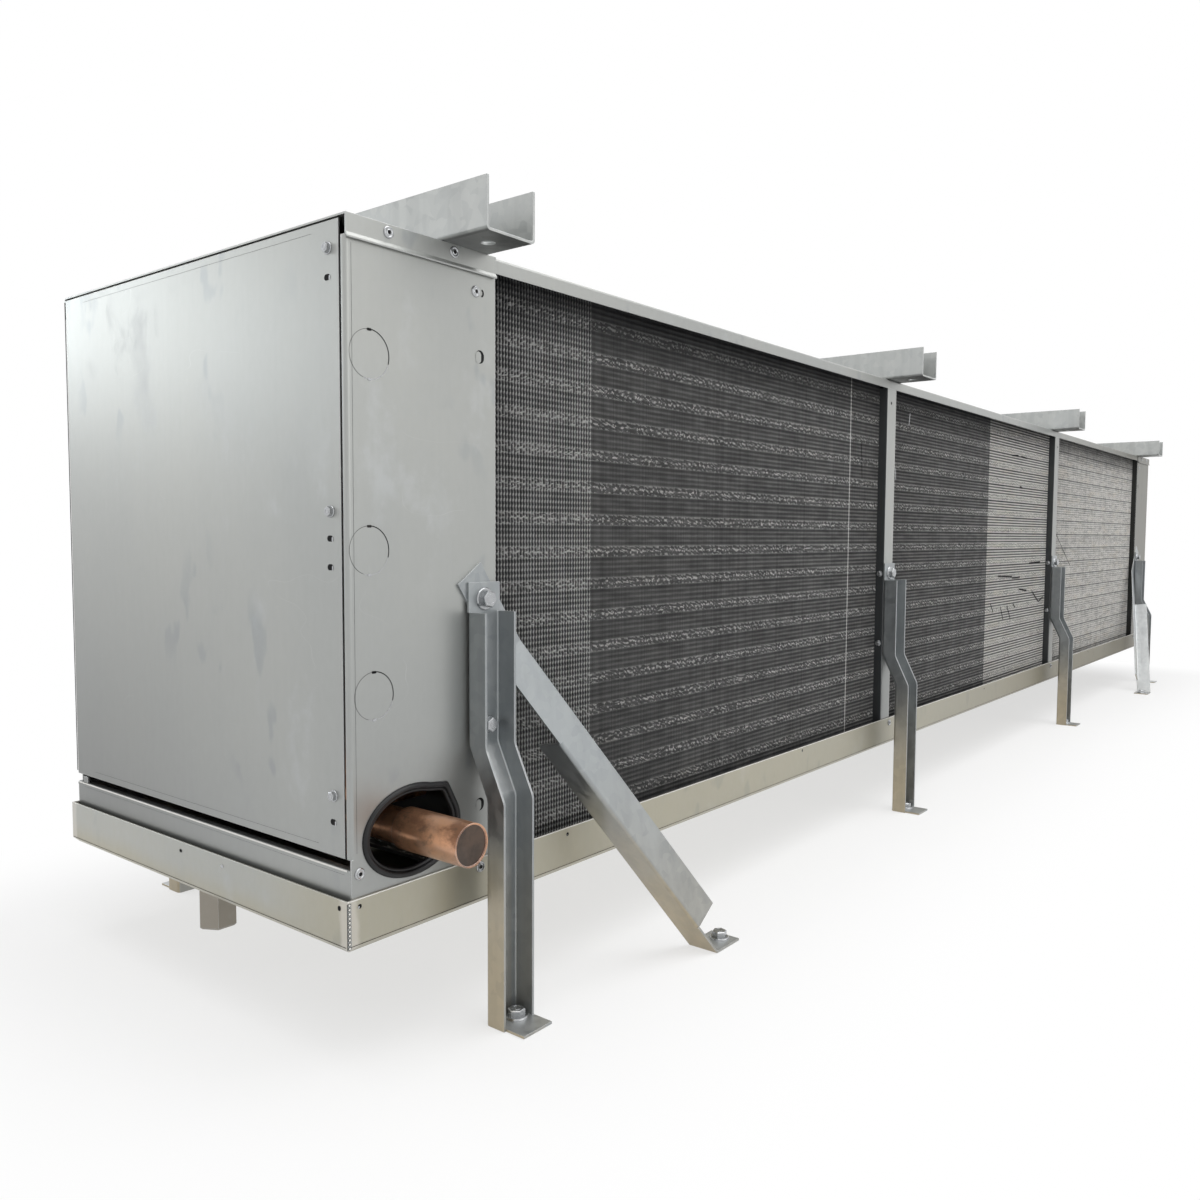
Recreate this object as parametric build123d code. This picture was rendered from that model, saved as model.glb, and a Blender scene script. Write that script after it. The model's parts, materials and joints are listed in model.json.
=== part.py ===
from build123d import *
import os
from math import cos, pi, radians, sqrt

# Refrigeration evaporator: a long three-fan unit cooler standing on its legs.
# Millimetres. X runs along the length, the near end is at low X.
# The coil face is at low Y, the fan side at high Y, the floor is Z = 0.

# Driving dimensions of the casing
unit_length = 3496
unit_depth = 538
casing_height = 661
floor_gap = 114
end_bay_length = 186
support_width = 38
outer_bay_share = 0.3264
sheet = 1.6
heavy_sheet = 2.6
bend_radius = 2
seat_gap = 0.3
corner_gap = 3.2
overrun = 5

# Drain pan
pan_depth = 49
pan_end_reach = 6.6
pan_bevel = 5

# Lid and header cover
lid_flange = 15.7
cover_flange = 21.7
cover_hem = 3.2

# End panels and the sill strip below them
end_panel_bottom = 85
end_panel_setback = 9.3
end_panel_top_gap = 2
sill_top = 75
sill_lip = 4
sill_lip_radius = 2.2
sill_tuck = 12
panel_tuck = 20

# Suction opening, its rubber edging and the copper stub
opening_width = 122
opening_height = 90
opening_from_end = 73.5
opening_above_pan_floor = 97.6
opening_peak_shares = [0.74, 0.86]
opening_shoulder_share = 0.3
opening_peak_radius = 5
edging_width = 8
edging_peak_radius = 2
edging_proud = 3.5
stub_diameter = 41.3
stub_wall = 1.5
stub_projection = 80
stub_socket_depth = 8
suction_pipe_diameter = 34.9
header_from_face = 110
header_diameter = 41.3
header_top_margin = 90
header_branch_diameter = 12.7
header_branch_count = 8
stub_plug_setback = 1.2

# Coil
coil_recess = 15
coil_depth = 215
coil_side_gap = 0.3
coil_top_gap = 4
coil_foot_height = 12
fin_pack_pitch = 25
fin_pack_gap = 9
fin_pack_relief = 10

# Fan wall
fan_orifice_diameter = 522
fan_ring_depth = 46
fan_mouth_radius = 16
fan_mouth_seat = 8
fan_tip_gap = 6
fan_blade_count = 5
fan_hub_diameter = 150
fan_hub_depth = 58
fan_blade_thickness = 2.5
fan_blade_chord = 150
fan_blade_chord_shares = [0.62, 0.88, 1]
fan_blade_camber_share = 0.09
fan_root_angle = 42
fan_tip_angle = 24
motor_diameter = 140
motor_length = 150
motor_shaft_diameter = 16
motor_arm_width = 26
motor_arm_thickness = 4

# Fan guards
guard_diameter = 580
guard_ring_count = 6
guard_wire = 5
guard_spoke_share = 0.8
guard_first_spoke_angle = 45
guard_spoke_count = 4
guard_standoff = 34
guard_hub_ring_diameter = 90

# Hanger channels across the top
hanger_width = 65
hanger_height = 50
hanger_reach = 62
hanger_sheet = 2.6
hanger_from_support = 12.7
hanger_near_offset = 145
hanger_hole_diameter = 14.3
hanger_hole_from_end = 31

# Legs
leg_width = 44
leg_flange = 25.4
leg_sheet = 2.6
leg_near_offset = 165
leg_tab_top = 333
leg_flange_top = 303
leg_jog_top = 168
leg_jog_bottom = 116
leg_jog = 25.4
leg_jog_radius = 14
leg_foot_reach = 50

# Diagonal braces
brace_width = 38
brace_sheet = 2.6
brace_lean = 34.9
brace_splay = 14.3
brace_splay_far = 9.4
brace_pad_above_bolt = 32
brace_pad_below_bolt = 70
brace_flange_start = 116
brace_plate_end_height = 45
brace_foot_length = 50
brace_bolt_height = 316

# Drain coupling under the pan
coupling_from_end = 40
coupling_from_coil_face = 292
coupling_across_flats = 38
coupling_drop = 58
coupling_bore_diameter = 27
coupling_chamfer = 2.5

# Planes of the casing, worked out from the values above
near_x = -unit_length / 2
far_x = unit_length / 2
coil_y = -unit_depth / 2
fan_y = unit_depth / 2
pan_floor_z = floor_gap
pan_rim_z = floor_gap + pan_depth
casing_top_z = floor_gap + casing_height
lid_under_z = casing_top_z - sheet
near_bay_end_x = near_x + end_bay_length
far_bay_end_x = far_x - end_bay_length
coil_length = unit_length - 2 * end_bay_length - 2 * support_width
outer_bay_length = outer_bay_share * coil_length
support_offset = end_bay_length + outer_bay_length + support_width / 2
support_xs = [near_x + support_offset, far_x - support_offset]
fan_xs = [
    near_x + end_bay_length + outer_bay_length / 2,
    0,
    far_x - end_bay_length - outer_bay_length / 2,
]
coil_front_y = coil_y + coil_recess
coil_back_y = coil_front_y + coil_depth
fan_axis_z = (pan_rim_z + lid_under_z) / 2


def block(x_low, x_high, y_low, y_high, z_low, z_high):
    """Solid box between two corners."""
    centre = Pos((x_low + x_high) / 2, (y_low + y_high) / 2, (z_low + z_high) / 2)
    return centre * Box(x_high - x_low, y_high - y_low, z_high - z_low)


def profile_along_x(points, x_low, x_high):
    """Extrude an outline given in (y, z) from x_low to x_high."""
    face = make_face(Polyline([(x_low, y, z) for y, z in points], close=True))
    return extrude(face, amount=x_high - x_low, dir=(1, 0, 0))


def profile_along_y(points, y_low, y_high):
    """Extrude an outline given in (x, z) from y_low to y_high."""
    face = make_face(Polyline([(x, y_low, z) for x, z in points], close=True))
    return extrude(face, amount=y_high - y_low, dir=(0, 1, 0))


def profile_along_z(points, z_low, z_high):
    """Extrude an outline given in (x, y) from z_low to z_high."""
    face = make_face(Polyline([(x, y, z_low) for x, y in points], close=True))
    return extrude(face, amount=z_high - z_low, dir=(0, 0, 1))


def folded(part, axis, bends, radius):
    """Round the edges along one axis that pass through the given points, as a folded sheet is."""
    picked = []
    for edge in part.edges().filter_by(axis):
        middle = edge.center()
        for point in bends:
            apart = [abs(a - b) for a, b in zip(tuple(middle), point) if b is not None]
            if max(apart) < seat_gap:
                picked.append(edge)
    return fillet(picked, radius)


def mirrored_end(part):
    """The same piece at the far end."""
    return mirror(part, about=Plane.YZ)


def mirrored_side(part):
    """The same piece on the fan side."""
    return mirror(part, about=Plane.XZ)


# Drain pan: a tray with bevelled lower edges that the casing stands in
def drain_pan():
    side_reach = sheet + seat_gap
    length = unit_length + 2 * pan_end_reach
    depth = unit_depth + 2 * side_reach
    seated = (Align.CENTER, Align.CENTER, Align.MIN)
    outer = Pos(0, 0, pan_floor_z) * Box(length, depth, pan_depth, align=seated)
    outer = chamfer(outer.faces().sort_by(Axis.Z)[0].edges(), pan_bevel)
    hollow = Box(length - 2 * sheet, depth - 2 * sheet, pan_depth, align=seated)
    inner = Pos(0, 0, pan_floor_z + sheet) * hollow
    inner = chamfer(inner.faces().sort_by(Axis.Z)[0].edges(), pan_bevel - sheet / 2)
    x = near_x + coupling_from_end
    y = coil_y + coupling_from_coil_face
    drain_hole = Pos(x, y, pan_floor_z) * Cylinder(coupling_bore_diameter / 2, 4 * overrun)
    return outer - inner - drain_hole


# Drain coupling: a hexagonal fitting on the underside of the pan
def drain_coupling():
    x = near_x + coupling_from_end
    y = coil_y + coupling_from_coil_face
    circumradius = coupling_across_flats / 2 / cos(pi / 6)
    hexagon = RegularPolygon(circumradius, 6)
    body = Pos(x, y, pan_floor_z - coupling_drop) * extrude(hexagon, coupling_drop)
    body = chamfer(body.faces().sort_by(Axis.Z)[0].edges(), coupling_chamfer)
    bore = Cylinder(coupling_bore_diameter / 2, coupling_drop + 2 * overrun)
    return body - Pos(x, y, pan_floor_z - coupling_drop / 2) * bore


# Top cover: flat lid with a flange turned down along the coil face and the fan side
def top_cover():
    x_low = near_bay_end_x
    x_high = far_bay_end_x
    outline = [
        (coil_y, casing_top_z - lid_flange),
        (coil_y, casing_top_z),
        (fan_y, casing_top_z),
        (fan_y, casing_top_z - lid_flange),
        (fan_y - sheet, casing_top_z - lid_flange),
        (fan_y - sheet, lid_under_z),
        (coil_y + sheet, lid_under_z),
        (coil_y + sheet, casing_top_z - lid_flange),
    ]
    cover = profile_along_x(outline, x_low, x_high)
    outer_bends = [(None, coil_y, casing_top_z), (None, fan_y, casing_top_z)]
    inner_bends = [(None, coil_y + sheet, lid_under_z), (None, fan_y - sheet, lid_under_z)]
    cover = folded(cover, Axis.X, outer_bends, bend_radius + sheet)
    return folded(cover, Axis.X, inner_bends, bend_radius)


# Header cover: the lid's end piece, with a deeper flange that ends in a hem
def end_cover_near():
    y_out = coil_y - sheet
    z_low = casing_top_z - cover_flange
    outline = [
        (coil_y, z_low + cover_hem),
        (y_out - sheet, z_low),
        (y_out - sheet, z_low + sheet),
        (y_out, z_low + cover_hem + sheet),
        (y_out, casing_top_z),
        (fan_y, casing_top_z),
        (fan_y, casing_top_z - cover_flange),
        (fan_y - sheet, casing_top_z - cover_flange),
        (fan_y - sheet, lid_under_z),
        (coil_y, lid_under_z),
    ]
    cover = profile_along_x(outline, near_x, near_bay_end_x - seat_gap)
    return folded(cover, Axis.X, [(None, fan_y, casing_top_z)], bend_radius + sheet)


# Opening for the suction line: an oval drawn out to a peak at its upper inner corner
def opening_outline(grow, peak_radius):
    w = opening_width / 2 + grow
    h = opening_height / 2 + grow
    peak = (opening_peak_shares[0] * w, opening_peak_shares[1] * h)
    shoulder_x = w * sqrt(1 - opening_shoulder_share**2)
    shoulder = (shoulder_x, opening_shoulder_share * h)
    face = Ellipse(w, h) + make_face(Polyline([(0, 0), (0, h), peak, shoulder], close=True))
    corner = face.vertices().sort_by_distance(peak)[0]
    return fillet(corner, peak_radius)


def opening_plane(y):
    x = near_x + opening_from_end
    z = pan_floor_z + opening_above_pan_floor
    return Plane(origin=(x, y, z), x_dir=(1, 0, 0), z_dir=(0, -1, 0))


# Coil-side panel over an end compartment, folded round the corner
def end_compartment_panel():
    z_low = pan_rim_z - panel_tuck
    z_high = casing_top_z - cover_flange + cover_hem
    z_corner = pan_floor_z + end_panel_bottom
    corner_width = end_panel_setback - corner_gap
    front = block(near_x, near_bay_end_x, coil_y, coil_y + sheet, z_corner, z_high)
    corner = block(near_x, near_x + sheet, coil_y, coil_y + corner_width, z_corner, z_high)
    panel = folded(front + corner, Axis.Z, [(near_x + sheet, coil_y + sheet, None)], bend_radius)
    panel = folded(panel, Axis.Z, [(near_x, coil_y, None)], bend_radius + sheet)
    skirt = block(near_x, near_bay_end_x, coil_y, coil_y + sheet, z_low, z_corner)
    return panel + skirt


# The near one has the opening for the suction line
def header_panel_near():
    cutter = opening_plane(coil_y - overrun) * opening_outline(0, opening_peak_radius)
    return end_compartment_panel() - extrude(cutter, amount=-(sheet + 2 * overrun))


# Rubber edging that lines the opening
def suction_grommet():
    ring_depth = sheet + 2 * edging_proud
    outer_outline = opening_outline(0, opening_peak_radius)
    inner_outline = opening_outline(-edging_width, edging_peak_radius)
    outer = extrude(opening_plane(coil_y - edging_proud) * outer_outline, amount=-ring_depth)
    inner_plane = opening_plane(coil_y - edging_proud - overrun)
    inner = extrude(inner_plane * inner_outline, amount=-(ring_depth + 2 * overrun))
    return outer - inner


# Suction line: the stub and its plug, the pipe behind it and the header with its branches
def suction_line():
    x = near_x + opening_from_end
    z = pan_floor_z + opening_above_pan_floor
    header_y = coil_y + header_from_face
    header_top = lid_under_z - header_top_margin
    plane = opening_plane(coil_y - stub_projection)
    stub = extrude(plane * Circle(stub_diameter / 2), amount=-(stub_projection + stub_socket_depth))
    stub -= extrude(plane * Circle(stub_diameter / 2 - stub_wall), amount=-stub_plug_setback)
    pipe_plane = opening_plane(coil_y + stub_socket_depth)
    pipe_length = header_from_face - stub_socket_depth
    pipe = extrude(pipe_plane * Circle(suction_pipe_diameter / 2), amount=-pipe_length)
    header_bottom = z - header_diameter
    header_height = header_top - header_bottom
    header_middle_z = header_bottom + header_height / 2
    header = Pos(x, header_y, header_middle_z) * Cylinder(header_diameter / 2, header_height)
    line = stub + pipe + header
    branch_length = near_bay_end_x - heavy_sheet - seat_gap - x
    branch_step = (header_height - 2 * header_diameter) / (header_branch_count - 1)
    for index in range(header_branch_count):
        branch_z = header_bottom + header_diameter + index * branch_step
        branch = Cylinder(header_branch_diameter / 2, branch_length)
        line += Pos(x + branch_length / 2, header_y, branch_z) * Rot(0, 90, 0) * branch
    return line


# A sheet over the end, folded round the fan-side corner as far as the tube sheet
def wrapped_sheet(y_low, z_low, z_high):
    face = block(near_x, near_x + sheet, y_low, fan_y, z_low, z_high)
    wrap = block(near_x, near_bay_end_x - seat_gap, fan_y - sheet, fan_y, z_low, z_high)
    both = folded(face + wrap, Axis.Z, [(near_x + sheet, fan_y - sheet, None)], bend_radius)
    return folded(both, Axis.Z, [(near_x, fan_y, None)], bend_radius + sheet)


# End panel: one sheet over the end, wrapped round the fan-side corner
def end_panel_near():
    z_low = pan_floor_z + end_panel_bottom
    z_wrap = lid_under_z - end_panel_top_gap - cover_flange
    z_high = lid_under_z - end_panel_top_gap
    y_low = coil_y + end_panel_setback
    head = block(near_x, near_x + sheet, y_low, fan_y - sheet, z_wrap, z_high)
    return wrapped_sheet(y_low, z_low, z_wrap) + head


# Sill below the end panel, with a rounded lip, tucked into the pan
def end_sill_near():
    z_low = pan_rim_z - sill_tuck
    z_high = pan_floor_z + sill_top
    z_wrap = z_high - sill_lip
    y_low = coil_y + sheet + seat_gap
    strip = block(near_x, near_x + sheet, y_low, fan_y - sheet, z_wrap, z_high)
    lip = block(near_x, near_x + 2 * sill_lip, y_low, fan_y - sheet, z_high - sheet, z_high)
    rolled = folded(strip + lip, Axis.Y, [(near_x, None, z_high)], sill_lip_radius)
    return wrapped_sheet(y_low, z_low, z_wrap) + rolled


# Tube sheet between the header compartment and the coil
def tube_sheet_near():
    x_high = near_bay_end_x - seat_gap
    inset = sheet + seat_gap
    z_low = pan_rim_z - panel_tuck
    return block(x_high - heavy_sheet, x_high, coil_y + inset, fan_y - inset, z_low, lid_under_z)


# Coil support: post on the coil face and the plate behind it that carries the tubes
def coil_support(x):
    z_low = pan_floor_z + sheet + pan_bevel
    x_low = x - support_width / 2
    x_high = x + support_width / 2
    post = profile_along_z(
        [
            (x_low, coil_back_y),
            (x_low, coil_y),
            (x_high, coil_y),
            (x_high, coil_back_y),
            (x_high - sheet, coil_back_y),
            (x_high - sheet, coil_y + sheet),
            (x_low + sheet, coil_y + sheet),
            (x_low + sheet, coil_back_y),
        ],
        z_low,
        casing_top_z - lid_flange,
    )
    outer_bends = [(x_low, coil_y, None), (x_high, coil_y, None)]
    return folded(post, Axis.Z, outer_bends, bend_radius)


# Finned coil bays, set back from the posts: the fins stand in packs with gaps on both faces
def pack_points(x_from, x_to, face_y, gap_floor_y):
    pack_count = round((x_to - x_from + fin_pack_gap) / fin_pack_pitch)
    step = (x_to - x_from + fin_pack_gap) / pack_count
    points = []
    for index in range(pack_count):
        left = x_from + index * step
        right = left + step - fin_pack_gap
        points += [(left, gap_floor_y), (left, face_y), (right, face_y), (right, gap_floor_y)]
    return points[1:-1]


def coil_bay(x_low, x_high):
    z_low = pan_floor_z + coil_foot_height
    z_high = casing_top_z - sheet - coil_top_gap
    x_from = x_low + coil_side_gap
    x_to = x_high - coil_side_gap
    front = pack_points(x_from, x_to, coil_front_y, coil_front_y + fin_pack_relief)
    back = pack_points(x_from, x_to, coil_back_y, coil_back_y - fin_pack_relief)
    return profile_along_z(front + back[::-1], z_low, z_high)


# Fan panel of one bay, with the drawn ring that the fan runs in
def fan_panel(x, x_low, x_high):
    z_low = pan_rim_z - panel_tuck
    z_high = casing_top_z - lid_flange
    plate = block(x_low, x_high, fan_y - sheet, fan_y, z_low, z_high)
    radius = fan_orifice_diameter / 2
    seat_radius = radius + fan_mouth_radius + fan_mouth_seat
    hole = Pos(x, fan_y, fan_axis_z) * Rot(90, 0, 0) * Cylinder(seat_radius, 4 * overrun)
    outline = Polyline(
        [
            (seat_radius, 0, 0),
            (seat_radius, 0, -sheet),
            (radius + sheet, 0, -sheet),
            (radius + sheet, 0, -fan_ring_depth),
            (radius, 0, -fan_ring_depth),
            (radius, 0, 0),
        ],
        close=True,
    )
    section = make_face(outline)
    mouth = section.vertices().sort_by_distance((radius, 0, 0))[0]
    section = fillet(mouth, fan_mouth_radius)
    throat = section.vertices().sort_by_distance((radius + sheet, 0, -sheet))[0]
    section = fillet(throat, fan_mouth_radius - sheet)
    ring = revolve(section, axis=Axis.Z)
    ring = Pos(x, fan_y, fan_axis_z) * Rot(-90, 0, 0) * ring
    return plate - hole + ring


# One fan: a hub with twisted, cambered blades lofted from root to tip
def blade_section(radius, angle, chord):
    half = chord / 2
    rise = chord * fan_blade_camber_share
    under = -fan_blade_thickness
    upper_arc = ThreePointArc((-half, 0), (0, rise), (half, 0))
    lower_arc = ThreePointArc((half, under), (0, rise + under), (-half, under))
    edges = Line((half, 0), (half, under)) + Line((-half, under), (-half, 0))
    plane = Plane(origin=(radius, 0, 0), x_dir=(0, 1, 0), z_dir=(1, 0, 0))
    return plane * (Rot(0, 0, angle) * make_face(upper_arc + lower_arc + edges))


def fan(x):
    hub = Cylinder(fan_hub_diameter / 2, fan_hub_depth)
    hub = fillet(hub.faces().sort_by(Axis.Z)[-1].edges(), fan_hub_depth / 4)
    root = fan_hub_diameter / 2 - overrun
    tip = fan_orifice_diameter / 2 - fan_tip_gap
    radii = [root, (root + tip) / 2, tip]
    angles = [fan_root_angle, (fan_root_angle + fan_tip_angle) / 2, fan_tip_angle]
    sections = []
    for radius, angle, share in zip(radii, angles, fan_blade_chord_shares):
        sections.append(blade_section(radius, angle, fan_blade_chord * share))
    blade = loft(sections) & Cylinder(tip, 4 * fan_hub_depth)
    wheel = hub
    for index in range(fan_blade_count):
        wheel += Rot(0, 0, 360 * index / fan_blade_count) * blade
    wheel -= Cylinder(motor_shaft_diameter / 2 + seat_gap, 2 * fan_hub_depth)
    return Pos(x, fan_y - fan_ring_depth / 2, fan_axis_z) * Rot(-90, 0, 0) * wheel


# Motor behind the fan, held by four arms bolted to the fan panel
def fan_motor(x):
    back_of_fan_y = fan_y - fan_ring_depth / 2 - fan_hub_depth / 2 - fan_tip_gap
    body_y = back_of_fan_y - motor_length / 2
    body = Pos(x, body_y, fan_axis_z) * Rot(90, 0, 0) * Cylinder(motor_diameter / 2, motor_length)
    shaft_length = fan_hub_depth + fan_tip_gap
    shaft_y = back_of_fan_y + shaft_length / 2
    shaft = Cylinder(motor_shaft_diameter / 2, shaft_length)
    shaft = Pos(x, shaft_y, fan_axis_z) * Rot(90, 0, 0) * shaft
    motor = body + shaft
    arm_y = body_y
    reach = fan_orifice_diameter / 2 + fan_mouth_radius + fan_mouth_seat
    for side in (-1, 1):
        out_x = x + side * (reach + motor_arm_width / 2)
        arm = block(
            min(x, out_x),
            max(x, out_x),
            arm_y - motor_arm_thickness / 2,
            arm_y + motor_arm_thickness / 2,
            fan_axis_z - motor_arm_width / 2,
            fan_axis_z + motor_arm_width / 2,
        )
        post = block(
            out_x - motor_arm_thickness / 2,
            out_x + motor_arm_thickness / 2,
            arm_y - motor_arm_thickness / 2,
            fan_y - sheet - seat_gap,
            fan_axis_z - motor_arm_width / 2,
            fan_axis_z + motor_arm_width / 2,
        )
        motor += arm
        motor += post
    return motor


# Wire guard in front of one fan: rings joined by radial wires
def wire_ring(radius, level):
    half = guard_wire / 2
    section = make_face(
        Polyline(
            [
                (radius - half, 0, level),
                (radius, 0, level - half),
                (radius + half, 0, level),
                (radius, 0, level + half),
            ],
            close=True,
        )
    )
    return revolve(section, axis=Axis.Z)


def fan_guard(x):
    outer = guard_diameter / 2
    inner = guard_hub_ring_diameter / 2
    step = (outer - inner) / (guard_ring_count - 1)
    guard = None
    for index in range(guard_ring_count):
        radius = inner + index * step
        level = guard_standoff
        ring = wire_ring(radius, level)
        guard = ring if guard is None else guard + ring
    half = guard_spoke_share * guard_wire / 2
    for index in range(guard_spoke_count):
        spoke = block(inner, outer, -half, half, guard_standoff - half, guard_standoff + half)
        foot = block(outer - half, outer + half, -half, half, seat_gap, guard_standoff + half)
        guard += Rot(0, 0, guard_first_spoke_angle + 360 * index / guard_spoke_count) * (spoke + foot)
    return Pos(x, fan_y, fan_axis_z) * Rot(-90, 0, 0) * guard


# Hanger channel across the top, open upwards, with a hole at each end for a hanger rod
def hanger_channel(x):
    x_low = x - hanger_width / 2
    x_high = x + hanger_width / 2
    z_low = casing_top_z
    outline = [
        (x_low, z_low),
        (x_high, z_low),
        (x_high, z_low + hanger_height),
        (x_high - hanger_sheet, z_low + hanger_height),
        (x_high - hanger_sheet, z_low + hanger_sheet),
        (x_low + hanger_sheet, z_low + hanger_sheet),
        (x_low + hanger_sheet, z_low + hanger_height),
        (x_low, z_low + hanger_height),
    ]
    y_low = coil_y - hanger_reach
    y_high = fan_y + hanger_reach
    channel = profile_along_y(outline, y_low, y_high)
    outer_bends = [(x_low, None, z_low), (x_high, None, z_low)]
    z_web = z_low + hanger_sheet
    inner_bends = [(x_low + hanger_sheet, None, z_web), (x_high - hanger_sheet, None, z_web)]
    channel = folded(channel, Axis.Y, outer_bends, bend_radius + hanger_sheet)
    channel = folded(channel, Axis.Y, inner_bends, bend_radius)
    for y in (y_low + hanger_hole_from_end, y_high - hanger_hole_from_end):
        channel -= Pos(x, y, z_low) * Cylinder(hanger_hole_diameter / 2, 4 * overrun)
    return channel


# Leg: a channel open outwards, jogged out past the pan, with a tab above and a foot below
def leg_line(offset):
    # Points of one face of the leg, from the top down, offset outwards from the casing
    return [
        (-offset, leg_jog_top + pan_floor_z),
        (-offset - leg_jog, leg_jog_bottom + pan_floor_z),
        (-offset - leg_jog, 0),
    ]


def leg_band(outer_offset, z_top):
    inner = [(0, z_top)] + leg_line(0)
    outer = leg_line(outer_offset)[::-1] + [(-outer_offset, z_top)]
    return inner + outer


def coil_side_leg(x, standoff):
    web_y = coil_y - standoff
    x_low = x - leg_width / 2
    x_high = x + leg_width / 2

    def strip(outer_offset, z_top, x_from, x_to):
        points = [(web_y + y, z) for y, z in leg_band(outer_offset, z_top)]
        band = profile_along_x(points, x_from, x_to)
        for turn in (0, 1):
            bends = []
            for offset in (0, outer_offset):
                y, z = leg_line(offset)[turn]
                bends.append((None, web_y + y, z))
            band = folded(band, Axis.X, bends, leg_jog_radius)
        return band

    flange_top_z = pan_floor_z + leg_flange_top
    web = strip(leg_sheet, flange_top_z, x_low, x_high)
    near_flange = strip(leg_flange, flange_top_z, x_low, x_low + leg_sheet)
    far_flange = strip(leg_flange, flange_top_z, x_high - leg_sheet, x_high)
    channel = web + near_flange + far_flange
    outer_bends = [(x_low, web_y, None), (x_high, web_y, None)]
    inner_y = web_y - leg_sheet
    inner_bends = [(x_low + leg_sheet, inner_y, None), (x_high - leg_sheet, inner_y, None)]
    channel = folded(channel, Axis.Z, inner_bends, bend_radius)
    channel = folded(channel, Axis.Z, outer_bends, bend_radius + leg_sheet)
    tab = block(x_low, x_high, web_y - leg_sheet, web_y, flange_top_z, pan_floor_z + leg_tab_top)
    foot_y = web_y - leg_jog
    foot = block(x_low + leg_sheet, x_high, foot_y - leg_foot_reach, foot_y, 0, leg_sheet)
    return channel + tab + foot


# Diagonal brace: an angle section with a flat pad above and a folded foot
def brace_near(flange_inward, splay):
    half = brace_width / 2
    pad = block(-half, half, -brace_sheet, 0, -brace_pad_below_bolt, brace_pad_above_bolt)
    lean_cos = cos(radians(brace_lean))
    splay_cos = cos(radians(splay))
    bolt_z = pan_floor_z + brace_bolt_height
    fold_z = bolt_z - brace_pad_below_bolt * lean_cos
    run = fold_z / lean_cos / splay_cos
    plate_run = (fold_z - brace_plate_end_height) / lean_cos / splay_cos
    if flange_inward:
        y_low, y_high = -brace_sheet, brace_width - brace_sheet
        y_outer, y_inner = -brace_sheet, 0
    else:
        y_low, y_high = -brace_width, 0
        y_outer, y_inner = 0, -brace_sheet
    x_inner = -half + brace_sheet
    plate = block(-half, half, -brace_sheet, 0, -plate_run, -brace_flange_start)
    flange = block(-half, x_inner, y_low, y_high, -plate_run, -brace_flange_start)
    angle = folded(plate + flange, Axis.Z, [(x_inner, y_inner, None)], bend_radius)
    angle = folded(angle, Axis.Z, [(-half, y_outer, None)], bend_radius + brace_sheet)
    angle += block(-half, half, -brace_sheet, 0, -brace_flange_start, 0)
    angle += block(-half, x_inner, y_low, y_high, -run - brace_width, -plate_run)
    lower = Pos(0, 0, -brace_pad_below_bolt) * Rot(-splay, 0, 0) * angle
    bolt_x = near_x + leg_near_offset
    placed = Pos(bolt_x, coil_y, bolt_z) * Rot(0, -brace_lean, 0) * (pad + lower)
    above_floor = block(near_x, far_x, -unit_length, unit_length, 0, casing_top_z)
    placed = placed & above_floor
    # the foot is folded from the flange, so it starts where the flange meets the floor
    cut = placed.faces().sort_by(Axis.Z)[0].bounding_box()
    foot = block(cut.min.X, cut.min.X + brace_foot_length, cut.min.Y, cut.max.Y, 0, brace_sheet)
    return placed + foot


parts = {}
parts["drain_pan"] = drain_pan()
parts["drain_coupling"] = drain_coupling()
parts["top_cover"] = top_cover()
parts["end_cover_near"] = end_cover_near()
parts["end_cover_far"] = mirrored_end(end_cover_near())
parts["header_panel_near"] = header_panel_near()
parts["header_panel_far"] = mirrored_end(end_compartment_panel())
parts["end_panel_near"] = end_panel_near()
parts["end_panel_far"] = mirrored_end(end_panel_near())
parts["end_sill_near"] = end_sill_near()
parts["end_sill_far"] = mirrored_end(end_sill_near())
parts["tube_sheet_near"] = tube_sheet_near()
parts["tube_sheet_far"] = mirrored_end(tube_sheet_near())
parts["suction_grommet"] = suction_grommet()
parts["suction_line"] = suction_line()

for index, x in enumerate(support_xs):
    parts[f"coil_support_{index + 1}"] = coil_support(x)

bay_edges = [near_bay_end_x]
for x in support_xs:
    bay_edges += [x - support_width / 2, x + support_width / 2]
bay_edges.append(far_bay_end_x)
panel_edges = [near_bay_end_x] + support_xs + [far_bay_end_x]
for index, x in enumerate(fan_xs):
    parts[f"coil_bay_{index + 1}"] = coil_bay(bay_edges[2 * index], bay_edges[2 * index + 1])
    parts[f"fan_panel_{index + 1}"] = fan_panel(x, panel_edges[index], panel_edges[index + 1])
    parts[f"fan_{index + 1}"] = fan(x)
    parts[f"fan_motor_{index + 1}"] = fan_motor(x)
    parts[f"fan_guard_{index + 1}"] = fan_guard(x)

hanger_xs = [
    near_x + hanger_near_offset,
    support_xs[0] + hanger_from_support,
    support_xs[1] - hanger_from_support,
    far_x - hanger_near_offset,
]
for index, x in enumerate(hanger_xs):
    parts[f"hanger_channel_{index + 1}"] = hanger_channel(x)

leg_xs = [near_x + leg_near_offset] + support_xs + [far_x - leg_near_offset]
for index, x in enumerate(leg_xs):
    standoff = brace_sheet if index in (0, 3) else 0
    leg = coil_side_leg(x, standoff)
    parts[f"coil_side_leg_{index + 1}"] = leg
    parts[f"fan_side_leg_{index + 1}"] = mirrored_side(leg)

parts["coil_side_brace_near"] = brace_near(True, brace_splay)
parts["coil_side_brace_far"] = mirrored_end(brace_near(False, brace_splay_far))
parts["fan_side_brace_near"] = mirrored_side(brace_near(False, brace_splay))
parts["fan_side_brace_far"] = Rot(0, 0, 180) * brace_near(False, brace_splay)

os.makedirs("parts", exist_ok=True)
for name, part in parts.items():
    export_step(part, f"parts/{name}.step")
    print(name, round(part.volume), "mm3")
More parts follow.
